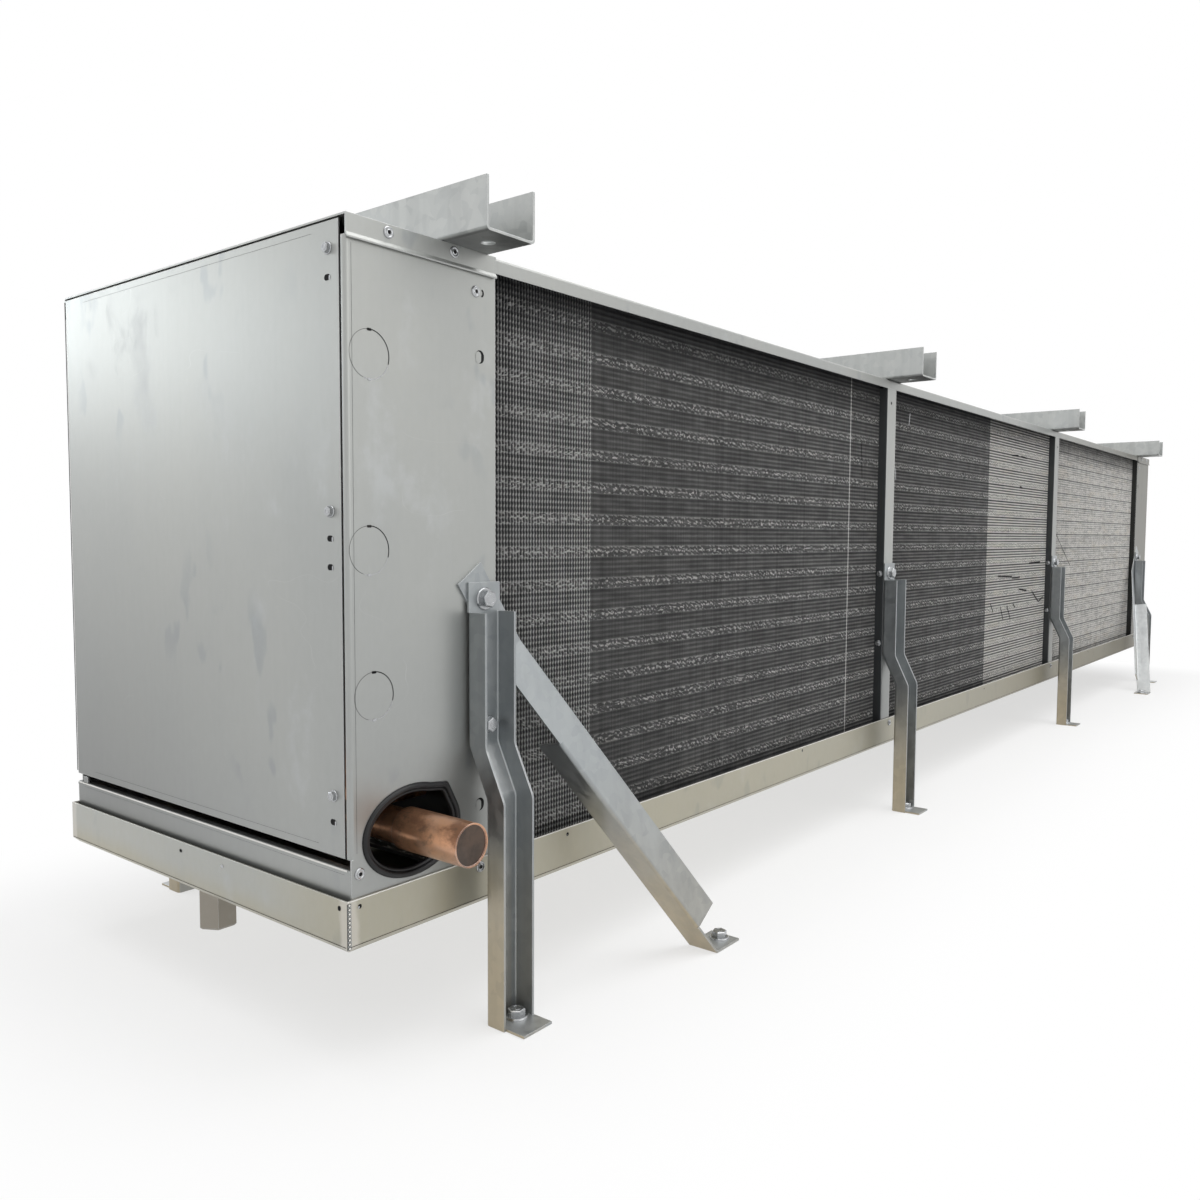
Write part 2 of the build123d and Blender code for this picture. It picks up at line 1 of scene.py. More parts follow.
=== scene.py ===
import bpy
import json
import math
import random
from mathutils import Matrix, Vector


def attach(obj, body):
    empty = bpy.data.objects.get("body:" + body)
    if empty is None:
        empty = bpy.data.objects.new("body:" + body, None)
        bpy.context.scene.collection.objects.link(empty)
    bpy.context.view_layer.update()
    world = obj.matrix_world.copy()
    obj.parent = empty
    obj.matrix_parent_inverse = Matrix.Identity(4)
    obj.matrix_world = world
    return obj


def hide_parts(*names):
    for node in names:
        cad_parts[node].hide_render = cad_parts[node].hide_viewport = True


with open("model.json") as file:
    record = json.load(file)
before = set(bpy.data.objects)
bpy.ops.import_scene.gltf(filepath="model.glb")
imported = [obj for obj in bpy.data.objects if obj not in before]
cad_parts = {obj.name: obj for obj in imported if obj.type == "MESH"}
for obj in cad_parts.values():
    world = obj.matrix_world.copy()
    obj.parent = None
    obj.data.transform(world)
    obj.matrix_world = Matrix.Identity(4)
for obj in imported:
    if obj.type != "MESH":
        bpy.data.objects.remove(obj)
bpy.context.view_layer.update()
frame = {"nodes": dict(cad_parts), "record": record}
nodes = frame["nodes"]
print("stage: frame loaded")

# The casing and what is spread along it, in metres
casing = {"nearX": -1.748, "length": 3.496, "coilY": -0.269, "fanY": 0.269, "panZ": 0.114}
fanCentres = [-1.0645, 0, 1.0645]
fanAxisZ = 0.4682
legCentres = [-1.583, -0.548, 0.548, 1.583]
lengthwise, towardsFans, upwards = Vector((1, 0, 0)), Vector((0, 1, 0)), Vector((0, 0, 1))
towardsNear, towardsCoil = -lengthwise, -towardsFans


def place(x, y, z):  # a point given from the near end, the coil face and the pan floor
    return Vector((casing["nearX"] + x, casing["coilY"] + y, casing["panZ"] + z))


def bothEnds(x):  # a distance from the near end and its mirror image, with the way inwards
    return [(x, 1), (casing["length"] - x, -1)]


class Net:  # a node tree, with short ways to add linked nodes to it
    def __init__(self, tree, own=None):
        self.tree, self.own = tree, own

    def put(self, socket, value):
        if isinstance(value, bpy.types.NodeSocket):
            self.tree.links.new(value, socket)
        elif socket.type == "RGBA":
            socket.default_value = (*value, 1)
        else:
            socket.default_value = value

    def add(self, kind, inputs=None, **settings):
        node = self.tree.nodes.new("ShaderNode" + kind)
        for key, value in settings.items():
            setattr(node, key, value)
        for key, value in (inputs or {}).items():
            self.put(node.inputs[key], value)
        return node

    def maths(self, operation, *values):
        return self.add("Math", dict(enumerate(values)), operation=operation).outputs[0]

    def times(self, product, *others):
        for other in others:
            product = self.maths("MULTIPLY", product, other)
        return product

    def plus(self, a, b):
        return self.maths("ADD", a, b)

    def minus(self, a, b):
        return self.maths("SUBTRACT", a, b)

    def line(self, value, slope, start):
        return self.maths("MULTIPLY_ADD", value, slope, start)

    def away(self, value, middle=0):  # how far a value is from a middle one
        return self.maths("ABSOLUTE", self.minus(value, middle))

    def saw(self, value):  # from -0.5 to 0.5 and over again
        return self.minus(self.maths("FRACT", value), 0.5)

    def ramp(self, value, low, high, outLow=0, outHigh=1):
        inputs = dict(enumerate((value, low, high, outLow, outHigh)))
        return self.add("MapRange", inputs, interpolation_type="SMOOTHSTEP").outputs[0]

    def mix(self, share, a, b, blend="MIX"):
        inputs = {0: share, 6: a, 7: b}
        return self.add("Mix", inputs, data_type="RGBA", blend_type=blend).outputs[2]

    def spot(self):  # the shaded point in the object's own frame
        return self.add("TexCoord").outputs["Object"]

    def parts(self, vector):
        return self.add("SeparateXYZ", {0: vector}).outputs

    def normalParts(self):
        return self.parts(self.add("NewGeometry").outputs["Normal"])

    # The rest take their numbers by name from the tree's own settings
    def noise(self, name):
        scale, stretch, detail, roughness, shift = self.own[name][:5]
        inputs = {"Vector": self.spot(), "Scale": stretch, "Location": (shift, shift * 2, shift * 3)}
        mapped = self.add("Mapping", inputs).outputs[0]
        inputs = {"Vector": mapped, "Scale": scale, "Detail": detail, "Roughness": roughness}
        return self.add("TexNoise", inputs).outputs[0]

    def span(self, name, value):
        return self.ramp(value, *self.own[name])

    def mask(self, name):  # a noise taken through its range
        return self.ramp(self.noise(name), *self.own[name][5:])

    def drift(self, name, value):  # the value with a noise added that swings both ways
        swing = self.own[name + "Swing"]
        return self.plus(value, self.line(self.noise(name), swing, -swing / 2))

    def washed(self, name, colour, *masks, blend="MIX"):  # mixed towards a tone by its masks
        share, tone = self.own[name + "Wash"]
        return self.mix(self.times(*masks, share), colour, tone, blend)

    def toned(self, name, colour, *masks):  # multiplied by a tone
        return self.washed(name, colour, *masks, blend="MULTIPLY")


# Node groups: each gives out only colours, roughness and heights. In their settings a range is
# (from, to) or (from, to, low, high), a noise is (scale, stretch, detail, roughness, shift), with
# its range after it where it has one, and a wash is the share of a mask and the tone it brings.

def openGroup(name, own):
    tree = bpy.data.node_groups.new(name, "ShaderNodeTree")
    for label, value in own["inputs"].items():
        isColour = isinstance(value, tuple)
        kind = "NodeSocketColor" if isColour else "NodeSocketFloat"
        socket = tree.interface.new_socket(label, in_out="INPUT", socket_type=kind)
        socket.default_value = (*value, 1) if isColour else value
    return Net(tree, own), own, tree.nodes.new("NodeGroupInput").outputs


def closeGroup(net, results):
    for label in results:
        kind = "NodeSocketColor" if label == "Color" else "NodeSocketFloat"
        net.tree.interface.new_socket(label, in_out="OUTPUT", socket_type=kind)
    leave = net.tree.nodes.new("NodeGroupOutput")
    for label, value in results.items():
        net.put(leave.inputs[label], value)
    return net.tree


sheetSettings = {
    "inputs": {"Tint": (0.6, 0.6, 0.6), "Scuff": 0.5, "Film": 0, "Fade": 0, "FadeShift": 0, "Cool": 0},
    "cloud": (2.2, (1, 1, 0.7), 4, 0.55, 7, 0.3, 0.72), "cloudWash": (1, (0.86, 0.875, 0.9)),
    "brush": (190, (1, 1, 0.012), 3, 0.6, 3), "brushWash": (0.16, (0.3, 0.31, 0.32)),
    "crystal": (130, (1, 1, 0.6), 2, 0.5, 1), "crystalWash": (0.1, (0.62, 0.63, 0.64)),
    "handled": (15, (1, 1, 0.8), 6, 0.62, 11, 0.53, 0.7),
    "handledPlace": (3.5, (1, 1, 1), 2, 0.5, 21, 0.48, 0.62), "handledWash": (0.3, (0.66, 0.69, 0.72)),
    "hair": (5, (1, 1, 2.2), 2, 0.4, 31), "hairRange": (0, 0.0012, 1, 0),
    "hairPlace": (7, (1, 1, 1), 2, 0.5, 41, 0.56, 0.62), "hairWash": (0.22, (0.8, 0.81, 0.82)),
    "finger": (30, (1, 1, 0.55), 2, 0.5, 71, 0.585, 0.68), "fingerPlace": (6, (1, 1, 1), 2, 0.5, 81, 0.46, 0.6),
    "fingerWash": (0.75, (0.74, 0.77, 0.83)),
    "paintedShadeHeight": (0.1, 0.58, 1, 0), "paintedShadeDepth": (-0.25, 0.25, 0.25, 1.1), "filmWash": (1, (0.62, 0.62, 0.63)),
    "farShadeRange": (-0.2, 1.5), "fadeWash": (1, (0.46, 0.44, 0.39)), "endwise": (0.6, 0.9),
    "insideLength": (1.59, 1.6, 1, 0), "insideHeight": (0.122, 0.128), "insideWash": (0.9, (0.16, 0.17, 0.19)),
    "roughness": 0.36, "cloudRoughness": 0.06, "handledRoughness": 0.1, "brushHeight": 0.6, "crystalHeight": 0.3,
    "foot": (5, (1, 1, 1), 3, 0.5, 51), "footSwing": 0.05, "footRange": (0.112, 0.142),
    "coolDepth": (-0.27, -0.1), "coolWash": (1, (1.00, 1.06, 1.22)),
    "cornerX": 1.7545, "cornerY": 0.2708, "seam": (60, (1, 1, 0.5), 4, 0.6, 61), "seamSwing": 0.01,
    "seamRange": (0.008, 0.014, 1, 0), "seamWash": (0.55, (0.66, 0.63, 0.58)),
}


def makeSheetGroup():
    # Mill-finished sheet: upright brushing, soft cloud, handled patches, hairline scratches and
    # finger marks, painted shade towards the bottom, the fan side and the far end, painted shade on
    # faces turned along the length away from the ends, and heat stains at the pan's corners
    net, own, entry = openGroup("rolledSheet", sheetSettings)
    brush, crystal = net.noise("brush"), net.noise("crystal")
    cloud = net.mask("cloud")
    handled = net.times(net.mask("handled"), net.mask("handledPlace"))
    hair = net.span("hairRange", net.away(net.noise("hair"), 0.5))
    hair = net.times(hair, net.mask("hairPlace"))
    finger = net.times(net.mask("finger"), net.mask("fingerPlace"))
    colour = net.mix(cloud, net.toned("cloud", entry["Tint"], 1), entry["Tint"])
    colour = net.washed("brush", colour, brush)
    colour = net.washed("crystal", colour, crystal)
    colour = net.washed("handled", colour, handled, entry["Scuff"])
    colour = net.washed("hair", colour, hair, entry["Scuff"])
    colour = net.toned("finger", colour, finger, entry["Scuff"])
    x, y, z = net.parts(net.spot())
    # painted shade: darker towards the bottom, most on the fan side
    colour = net.toned("film", colour, net.span("paintedShadeHeight", z), net.span("paintedShadeDepth", y), entry["Film"])
    # painted shade: darker along the part towards the far end
    fade = net.span("farShadeRange", net.plus(x, entry["FadeShift"]))
    colour = net.toned("fade", colour, fade, entry["Fade"])
    endwise = net.span("endwise", net.away(net.normalParts()[0]))
    # painted shade on faces turned along the length away from the ends, such as the flanks of the coil posts
    inside = net.times(endwise, net.span("insideLength", net.away(x)), net.span("insideHeight", z))
    colour = net.toned("inside", colour, inside)
    cool = net.times(endwise, net.span("footRange", net.drift("foot", z)), net.span("coolDepth", y))
    colour = net.toned("cool", colour, cool, entry["Cool"])
    toCorner = net.plus(net.away(net.away(x), own["cornerX"]), net.away(net.away(y), own["cornerY"]))
    seam = net.span("seamRange", net.drift("seam", toCorner))
    colour = net.washed("seam", colour, seam, entry["Cool"])
    roughness = net.line(handled, own["handledRoughness"], own["roughness"])
    return closeGroup(net, {
        "Color": colour,
        "Roughness": net.line(cloud, own["cloudRoughness"], roughness),
        "Height": net.line(brush, own["brushHeight"], net.times(crystal, own["crystalHeight"])),
    })


spangleSettings = {
    "inputs": {"Tint": (0.5, 0.5, 0.5), "High": (0.5, 0.5, 0.5), "Low": (0.5, 0.45, 0.4), "CrystalSize": 0.012},
    "level": (9, (1, 1, 1), 3, 0.5, 13), "levelSwing": 0.12,
    "lowHeight": (0.03, 0.27, 1, 0), "lowFacing": (0.7, 0.92, 1, 0.3), "lowLevel": (0.2, 0.45, 1, 0),
    "flangeOffset": 0.0215, "flangeRange": (0.008, 0.01, 0.15, 1), "highHeight": (0.7, 0.8),
    "skyRange": (0.25, 0.55), "skyWash": (0.55, (0.74, 0.745, 0.735)),
    "underRange": (-0.9, -0.5, 1, 0), "underWash": (1, (0.3, 0.3, 0.3)),
    "warpScale": 60, "warpDetail": 2, "warpReach": (0.006, 0.006, 0.006),
    "darkWash": (1, (0.86, 0.87, 0.88)), "shadeShare": 0.9, "wearAndHighlight": (14, (1, 1, 0.5), 5, 0.6, 5, 0.48, 0.72),
    "wearAndHighlightWash": (0.12, (0.62, 0.64, 0.65)), "streak": (46, (1, 1, 0.05), 4, 0.6, 2, 0.4, 0.66),
    "streakShare": 0.2, "streakWash": (1, (0.55, 0.56, 0.58)),
    "roughness": 0.3, "shadeRoughness": 0.14, "wearAndHighlightRoughness": 0.12,
}


def makeSpangleGroup():
    # Hot-dipped zinc: irregular crystals of slightly different greys, with a warm painted reflection
    # of the floor on the lower parts, painted light on faces turned up and painted shade under the hangers
    net, own, entry = openGroup("zincSpangle", spangleSettings)
    spot = net.spot()
    x, y, z = net.parts(spot)
    normal = net.normalParts()
    level = net.drift("level", z)
    # a warm painted reflection of the floor on the lower parts, weaker on faces turned towards the coil or the
    # fans and none on faces turned up; the shaded inner face of each leg's farther flange keeps little of it
    floorReflectionShare = net.times(net.span("lowHeight", level), net.span("lowFacing", net.away(normal[1])))
    for centre in legCentres:  # the shaded inside of each leg's farther flange
        beside = net.away(x, centre + own["flangeOffset"])
        floorReflectionShare = net.times(floorReflectionShare, net.span("flangeRange", beside))
    floorReflectionShare = net.times(floorReflectionShare, net.span("lowLevel", normal[2]))
    highShare = net.span("highHeight", level)
    tint = net.mix(floorReflectionShare, entry["Tint"], entry["Low"])
    tint = net.mix(highShare, tint, entry["High"])
    # painted light: faces turned up, below the hangers, are washed paler
    sky = net.times(net.span("skyRange", normal[2]), net.minus(1, highShare))
    tint = net.washed("sky", tint, sky)
    # painted shade on faces turned down up high, the hangers' undersides
    tint = net.toned("under", tint, net.span("underRange", normal[2]), highShare)
    warp = {"Vector": spot, "Scale": own["warpScale"], "Detail": own["warpDetail"]}
    bent = {0: net.add("TexNoise", warp).outputs["Color"], 1: own["warpReach"]}
    moved = {0: spot, 1: net.add("VectorMath", bent, operation="MULTIPLY").outputs[0]}
    moved = net.add("VectorMath", moved, operation="ADD").outputs[0]
    scale = net.maths("DIVIDE", 1, entry["CrystalSize"])
    cells = net.add("TexVoronoi", {"Vector": moved, "Scale": scale}).outputs["Color"]
    shade = net.add("SeparateColor", {0: cells}).outputs[0]
    # rubbed zinc: paler, rougher patches of wear
    wearAndHighlight = net.mask("wearAndHighlight")
    streak = net.times(net.mask("streak"), own["streakShare"])
    dark = net.toned("dark", tint, 1)
    colour = net.mix(net.times(shade, own["shadeShare"]), dark, tint)
    colour = net.washed("wearAndHighlight", colour, wearAndHighlight)
    colour = net.mix(streak, colour, net.toned("streak", tint, 1))
    roughness = net.line(shade, own["shadeRoughness"], own["roughness"])
    roughness = net.line(wearAndHighlight, own["wearAndHighlightRoughness"], roughness)
    return closeGroup(net, {"Color": colour, "Roughness": roughness, "Height": shade})


rowPitch = 0.0376  # between the coil's tube rows
finPattern = {
    "ripplePitch": rowPitch / 6, "firstRow": 0.2125,
    "inputs": {"Shade": 0.3, "Seed": 0, "Glint": 0.4, "Swing": 0.5},
    "band": (0.175 * 0.85, 0.175 * 1.1, 1, 0), "edgeAt": -0.26, "edgeRange": (0, 0.09, 1, 0),
    "wobble": (1, (95, 30, 60), 2, 0.5, 0.3), "wobbleReach": 0.007,
    "slant": (1, (20, 20, 45), 2, 0.5, 5.3), "slantSwing": 6, "slantsPerMetre": 88, "slantShare": 0.42,
    "lineRange": (0.25, 1), "dash": (1, (230, 60, 190), 2, 0.55, 4, 0.42, 0.6),
    "upperRange": (0.07, 0.12), "upperShare": 0.6, "glintRange": (0.06, 0.13, 1, 0.68),
    "lineMean": 0.42, "bandSwing": -0.45, "partingGlint": 0.85, "parting": -0.83,
    "seedSwing": 0.3, "seedLeast": 0.85, "patch": (1, (24, 6, 150), 3, 0.6, 23, 0.35, 0.65, 0.8, 1.16),
    "topShade": (0.685, 0.77, 1, 0.25), "warmPatch": (1, (14, 14, 60), 3, 0.5, 17, 0.5, 0.7),
    "warmPatchSwing": 0.4, "warmPatchLeast": 0.35, "warmFrom": 1.05,
    "paleTone": (0.93, 0.93, 0.92), "warmTone": (0.93, 0.87, 0.77), "darkTone": (0.01, 0.011, 0.014),
}


def makeFinGroup():
    # Rippled fins with their light painted into the colour: a painted brightness for each pack,
    # soft painted ripple lines, and along each tube row three wavy lines broken into painted glints,
    # with a painted dark line below them and a painted shadow of the lid at the top
    net, own, entry = openGroup("rippledFin", finPattern)
    x, y, height = net.parts(net.spot())
    fromFirst = net.minus(height, own["firstRow"])
    signed = net.saw(net.plus(net.maths("DIVIDE", fromFirst, rowPitch), 0.5))
    fromRow = net.away(signed)
    band = net.span("band", fromRow)
    edge = net.span("edgeRange", net.away(signed, own["edgeAt"]))
    slant = net.line(x, own["slantsPerMetre"], net.times(net.noise("slant"), own["slantSwing"]))
    wobble = net.line(net.saw(slant), own["slantShare"], net.minus(net.noise("wobble"), 0.5))
    wobble = net.times(wobble, net.times(band, own["wobbleReach"]))
    turn = net.times(net.plus(fromFirst, wobble), 2 * math.pi / own["ripplePitch"])
    wave = net.line(net.maths("COSINE", turn), 0.5, 0.5)
    line = net.span("lineRange", wave)
    upper = net.times(net.span("upperRange", signed), own["upperShare"])
    dash = net.maths("MAXIMUM", net.mask("dash"), upper)
    # painted glints along each tube row
    glint = net.times(line, dash, band, net.span("glintRange", fromRow))
    swing = net.times(net.minus(line, own["lineMean"]), entry["Swing"])
    plain = net.plus(net.times(swing, net.line(band, own["bandSwing"], 1)), 1)
    # painted dark line below each row's glints, strongest in the packs with weaker glints
    parting = net.line(entry["Glint"], own["partingGlint"], own["parting"])
    bright = net.times(entry["Shade"], plain, net.line(edge, parting, 1))
    bright = net.times(bright, net.line(entry["Seed"], own["seedSwing"], own["seedLeast"]))
    bright = net.line(bright, net.mask("patch"), net.times(glint, entry["Glint"]))
    # painted shadow of the lid: darker towards the top
    bright = net.times(bright, net.span("topShade", height))
    # a warm tint in noisy patches, stronger in the packs with weaker glints
    warm = net.line(net.mask("warmPatch"), own["warmPatchSwing"], own["warmPatchLeast"])
    warm = net.times(warm, net.minus(own["warmFrom"], entry["Glint"]))
    pale = net.mix(warm, own["paleTone"], own["warmTone"])
    colour = net.mix(net.maths("MINIMUM", bright, 1), own["darkTone"], pale)
    return closeGroup(net, {"Color": colour, "Height": net.line(wave, net.minus(1, band), glint)})


copperSettings = {
    "inputs": {"Tint": (0.6, 0.33, 0.2)},
    "patch": (34, (1, 0.6, 1), 6, 0.62, 1, 0.42, 0.62), "patchTone": (0.26, 0.13, 0.075),
    "stain": (70, (1, 0.7, 1), 5, 0.6, 6, 0.55, 0.7), "stainWash": (0.55, (0.1, 0.07, 0.055)),
    "pale": (24, (1, 0.5, 1), 3, 0.5, 9, 0.56, 0.68), "paleWash": (0.35, (0.58, 0.42, 0.34)),
    "plugAt": (-1.6745, -0.3478, 0.2116), "plugRange": (0.0186, 0.019, 1, 0),
    "plugWash": (0.92, (0.058, 0.052, 0.047)),
    "scratch": (500, (1, 0.05, 1), 2, 0.5, 2), "roughness": 0.28, "patchRoughness": 0.2,
}


def makeCopperGroup():
    # Copper tube: heated patches, brown tarnish, fine scratches and the dark plug at its end
    net, own, entry = openGroup("tarnishedCopper", copperSettings)
    patch = net.mask("patch")
    colour = net.mix(patch, entry["Tint"], own["patchTone"])
    colour = net.washed("stain", colour, net.mask("stain"))
    colour = net.washed("pale", colour, net.mask("pale"))
    toPlug = net.add("VectorMath", {0: net.spot(), 1: own["plugAt"]}, operation="DISTANCE")
    plug = net.span("plugRange", toPlug.outputs["Value"])
    return closeGroup(net, {
        "Color": net.washed("plug", colour, plug),
        "Roughness": net.line(patch, own["patchRoughness"], own["roughness"]),
        "Height": net.noise("scratch"),
    })


dustSettings = {
    "inputs": {"Tint": (0.1, 0.1, 0.1), "Dust": 0.2, "Rough": 0.5},
    "spots": (40, (1, 1, 1), 6, 0.65, 2, 0.45, 0.75), "spotsTone": (0.45, 0.43, 0.4),
    "fine": (600, (1, 1, 1), 2, 0.5, 8), "spotsRoughness": 0.15,
}


def makeDustGroup():
    # A plain surface with faint dust
    net, own, entry = openGroup("dustedSurface", dustSettings)
    spots = net.mask("spots")
    return closeGroup(net, {
        "Color": net.mix(net.times(spots, entry["Dust"]), entry["Tint"], own["spotsTone"]),
        "Roughness": net.line(spots, own["spotsRoughness"], entry["Rough"]),
        "Height": net.noise("fine"),
    })


groups = {
    "sheet": makeSheetGroup(), "spangle": makeSpangleGroup(), "fin": makeFinGroup(),
    "copper": makeCopperGroup(), "dust": makeDustGroup(),
}
print("stage: node groups made")

# Materials: slot, group, how metallic, the group's inputs, and the rest, which is more values of
# the shader, the bump's strength and reach, what is read from the mesh, and how much paler the
# edges are, as wear and a painted highlight
edgeSettings = {"reach": 0.0009, "samples": 4, "tone": (0.86, 0.88, 0.89), "range": (0.8, 0.99)}
finValues = {"Shade": "packShade", "Seed": "finSeed", "Glint": "packGlint", "Swing": "packSwing"}
materialSettings = {
    # the casing takes painted shade towards the bottom and the fan side, and towards the far end
    "casingSheet": (
        "casing", "sheet", 0.7,
        {"Tint": (0.436, 0.442, 0.418), "Scuff": 0.7, "Film": 1, "Fade": 0.97, "FadeShift": -0.15},
        {"edgeWearAndHighlight": 0.55},
    ),
    # the pan's sheet colour is warmed by a painted reflection of a wooden floor, and it takes painted shade
    # towards the far end
    "panSheet": (
        "pan_metal", "sheet", 0.7,
        {"Tint": (0.47, 0.438, 0.335), "Scuff": 0.6, "Fade": 1, "FadeShift": 0.6, "Cool": 1}, {"edgeWearAndHighlight": 0.55},
    ),
    # the warm low tone is a painted reflection of the floor on the legs' lower parts
    "galvanisedSteel": (
        "galvanised", "spangle", 0.75,
        {
            "Tint": (0.375, 0.395, 0.402), "High": (0.53, 0.54, 0.525), "Low": (0.47, 0.405, 0.295),
            "CrystalSize": 0.01,
        },
        {"edgeWearAndHighlight": 0.32},
    ),
    "finMetal": (
        # the fins' colour is painted light, read from each fin's painted brightness, glint and swing
        "fins", "fin", 0.25, {}, {"shader": {"Roughness": 0.45}, "bump": (0.6, 0.0008), "readers": finValues},
    ),
    "copperTube": ("copper", "copper", 0.8, {"Tint": (0.66, 0.35, 0.2)}, {"edgeWearAndHighlight": 0.35}),
    "brassFitting": (
        "brass", "dust", 0.7, {"Tint": (0.31, 0.285, 0.245), "Dust": 0.4, "Rough": 0.42}, {"edgeWearAndHighlight": 0.55},
    ),
    "rubberEdging": (
        "rubber", "dust", 0, {"Tint": (0.01, 0.01, 0.011), "Dust": 0.04, "Rough": 0.4},
        {"shader": {"Specular IOR Level": 0.35}},
    ),
    "fanMetal": ("fan_metal", "sheet", 0.8, {"Tint": (0.42, 0.43, 0.44), "Scuff": 0.3}, {}),
    "motorPaint": (
        "motor_paint", "dust", 0, {"Tint": (0.03, 0.03, 0.033), "Dust": 0.15, "Rough": 0.35},
        {"shader": {"Coat Weight": 0.3}},
    ),
    "zincPlate": (
        "zinc_plated", "dust", 0.9, {"Tint": (0.43, 0.44, 0.45), "Dust": 0.1, "Rough": 0.24},
        {"bump": (0.03, 0.0002)},
    ),
    # a pale finish for the thin strips and discs of painted highlight
    "rubbedEdge": (
        "zinc_plated", "dust", 0.3, {"Tint": (0.8, 0.79, 0.75), "Dust": 0.2, "Rough": 0.35},
        {"bump": (0.03, 0.0002)},
    ),
    # near-black for holes, pits and thin dark lines: painted shade where the sheet is open, folded or parted, and
    # the scores on the fins
    "darkHollow": (
        "rubber", "dust", 0, {"Tint": (0.012, 0.012, 0.013), "Dust": 0.1, "Rough": 0.7},
        {"shader": {"Specular IOR Level": 0.1}},
    ),
}


def newMaterial(name, values):
    material = bpy.data.materials.new(name)
    material.use_nodes = True
    net = Net(material.node_tree)
    surface = net.tree.nodes["Principled BSDF"]
    for key, value in values.items():
        net.put(surface.inputs[key], value)
    return material, net, surface


def makeMaterial(name, group, metallic, inputs, shader={}, bump=(0.1, 0.0002), readers={}, edgeWearAndHighlight=0):
    material, net, surface = newMaterial(name, {"Metallic": metallic, **shader})
    effect = net.add("Group", node_tree=groups[group])
    for key, value in inputs.items():
        net.put(effect.inputs[key], value)
    for key, label in readers.items():
        net.put(effect.inputs[key], net.add("Attribute", attribute_name=label).outputs["Fac"])
    if "Roughness" in effect.outputs:
        net.put(surface.inputs["Roughness"], effect.outputs["Roughness"])
    strength, reach = bump
    rise = net.add("Bump", {"Height": effect.outputs["Height"], "Strength": strength, "Distance": reach})
    net.put(surface.inputs["Normal"], rise.outputs[0])
    colour = effect.outputs["Color"]
    # every edge is washed paler: worn metal there and a painted highlight along it
    if edgeWearAndHighlight:
        rounded = net.add("Bevel", {"Radius": edgeSettings["reach"]}, samples=edgeSettings["samples"])
        net.put(rise.inputs["Normal"], rounded.outputs[0])
        flat = net.add("NewGeometry").outputs["Normal"]
        agree = net.add("VectorMath", {0: rounded.outputs[0], 1: flat}, operation="DOT_PRODUCT")
        share = net.ramp(agree.outputs["Value"], *edgeSettings["range"], edgeWearAndHighlight, 0)
        colour = net.mix(share, colour, edgeSettings["tone"])
    net.put(surface.inputs["Base Color"], colour)
    return material


materials, slotOf, bySlot = {}, {}, {}
for name, (slot, *entry, rest) in materialSettings.items():
    materials[name], slotOf[name] = makeMaterial(name, *entry, **rest), slot
    bySlot.setdefault(slot, materials[name])
recordSlots = {part["node"]: part["material_slot"] for part in frame["record"]["subparts"]}
for name, node in nodes.items():
    node.data.materials.clear()
    node.data.materials.append(bySlot[recordSlots[name]])
print("stage: materials set on the CAD nodes")


# Meshes
def addPiece(name, points, faces, material):
    mesh = bpy.data.meshes.new(name)
    mesh.from_pydata(points, [], faces)
    mesh.materials.append(material)
    piece = bpy.data.objects.new(name, mesh)
    bpy.context.scene.collection.objects.link(piece)
    return piece


def polar(reach, angle, height=0):
    return Vector((reach * math.cos(angle), reach * math.sin(angle), height))


def circle(sides):  # the angles of a loop's corners
    return [2 * math.pi * side / sides for side in range(sides)]


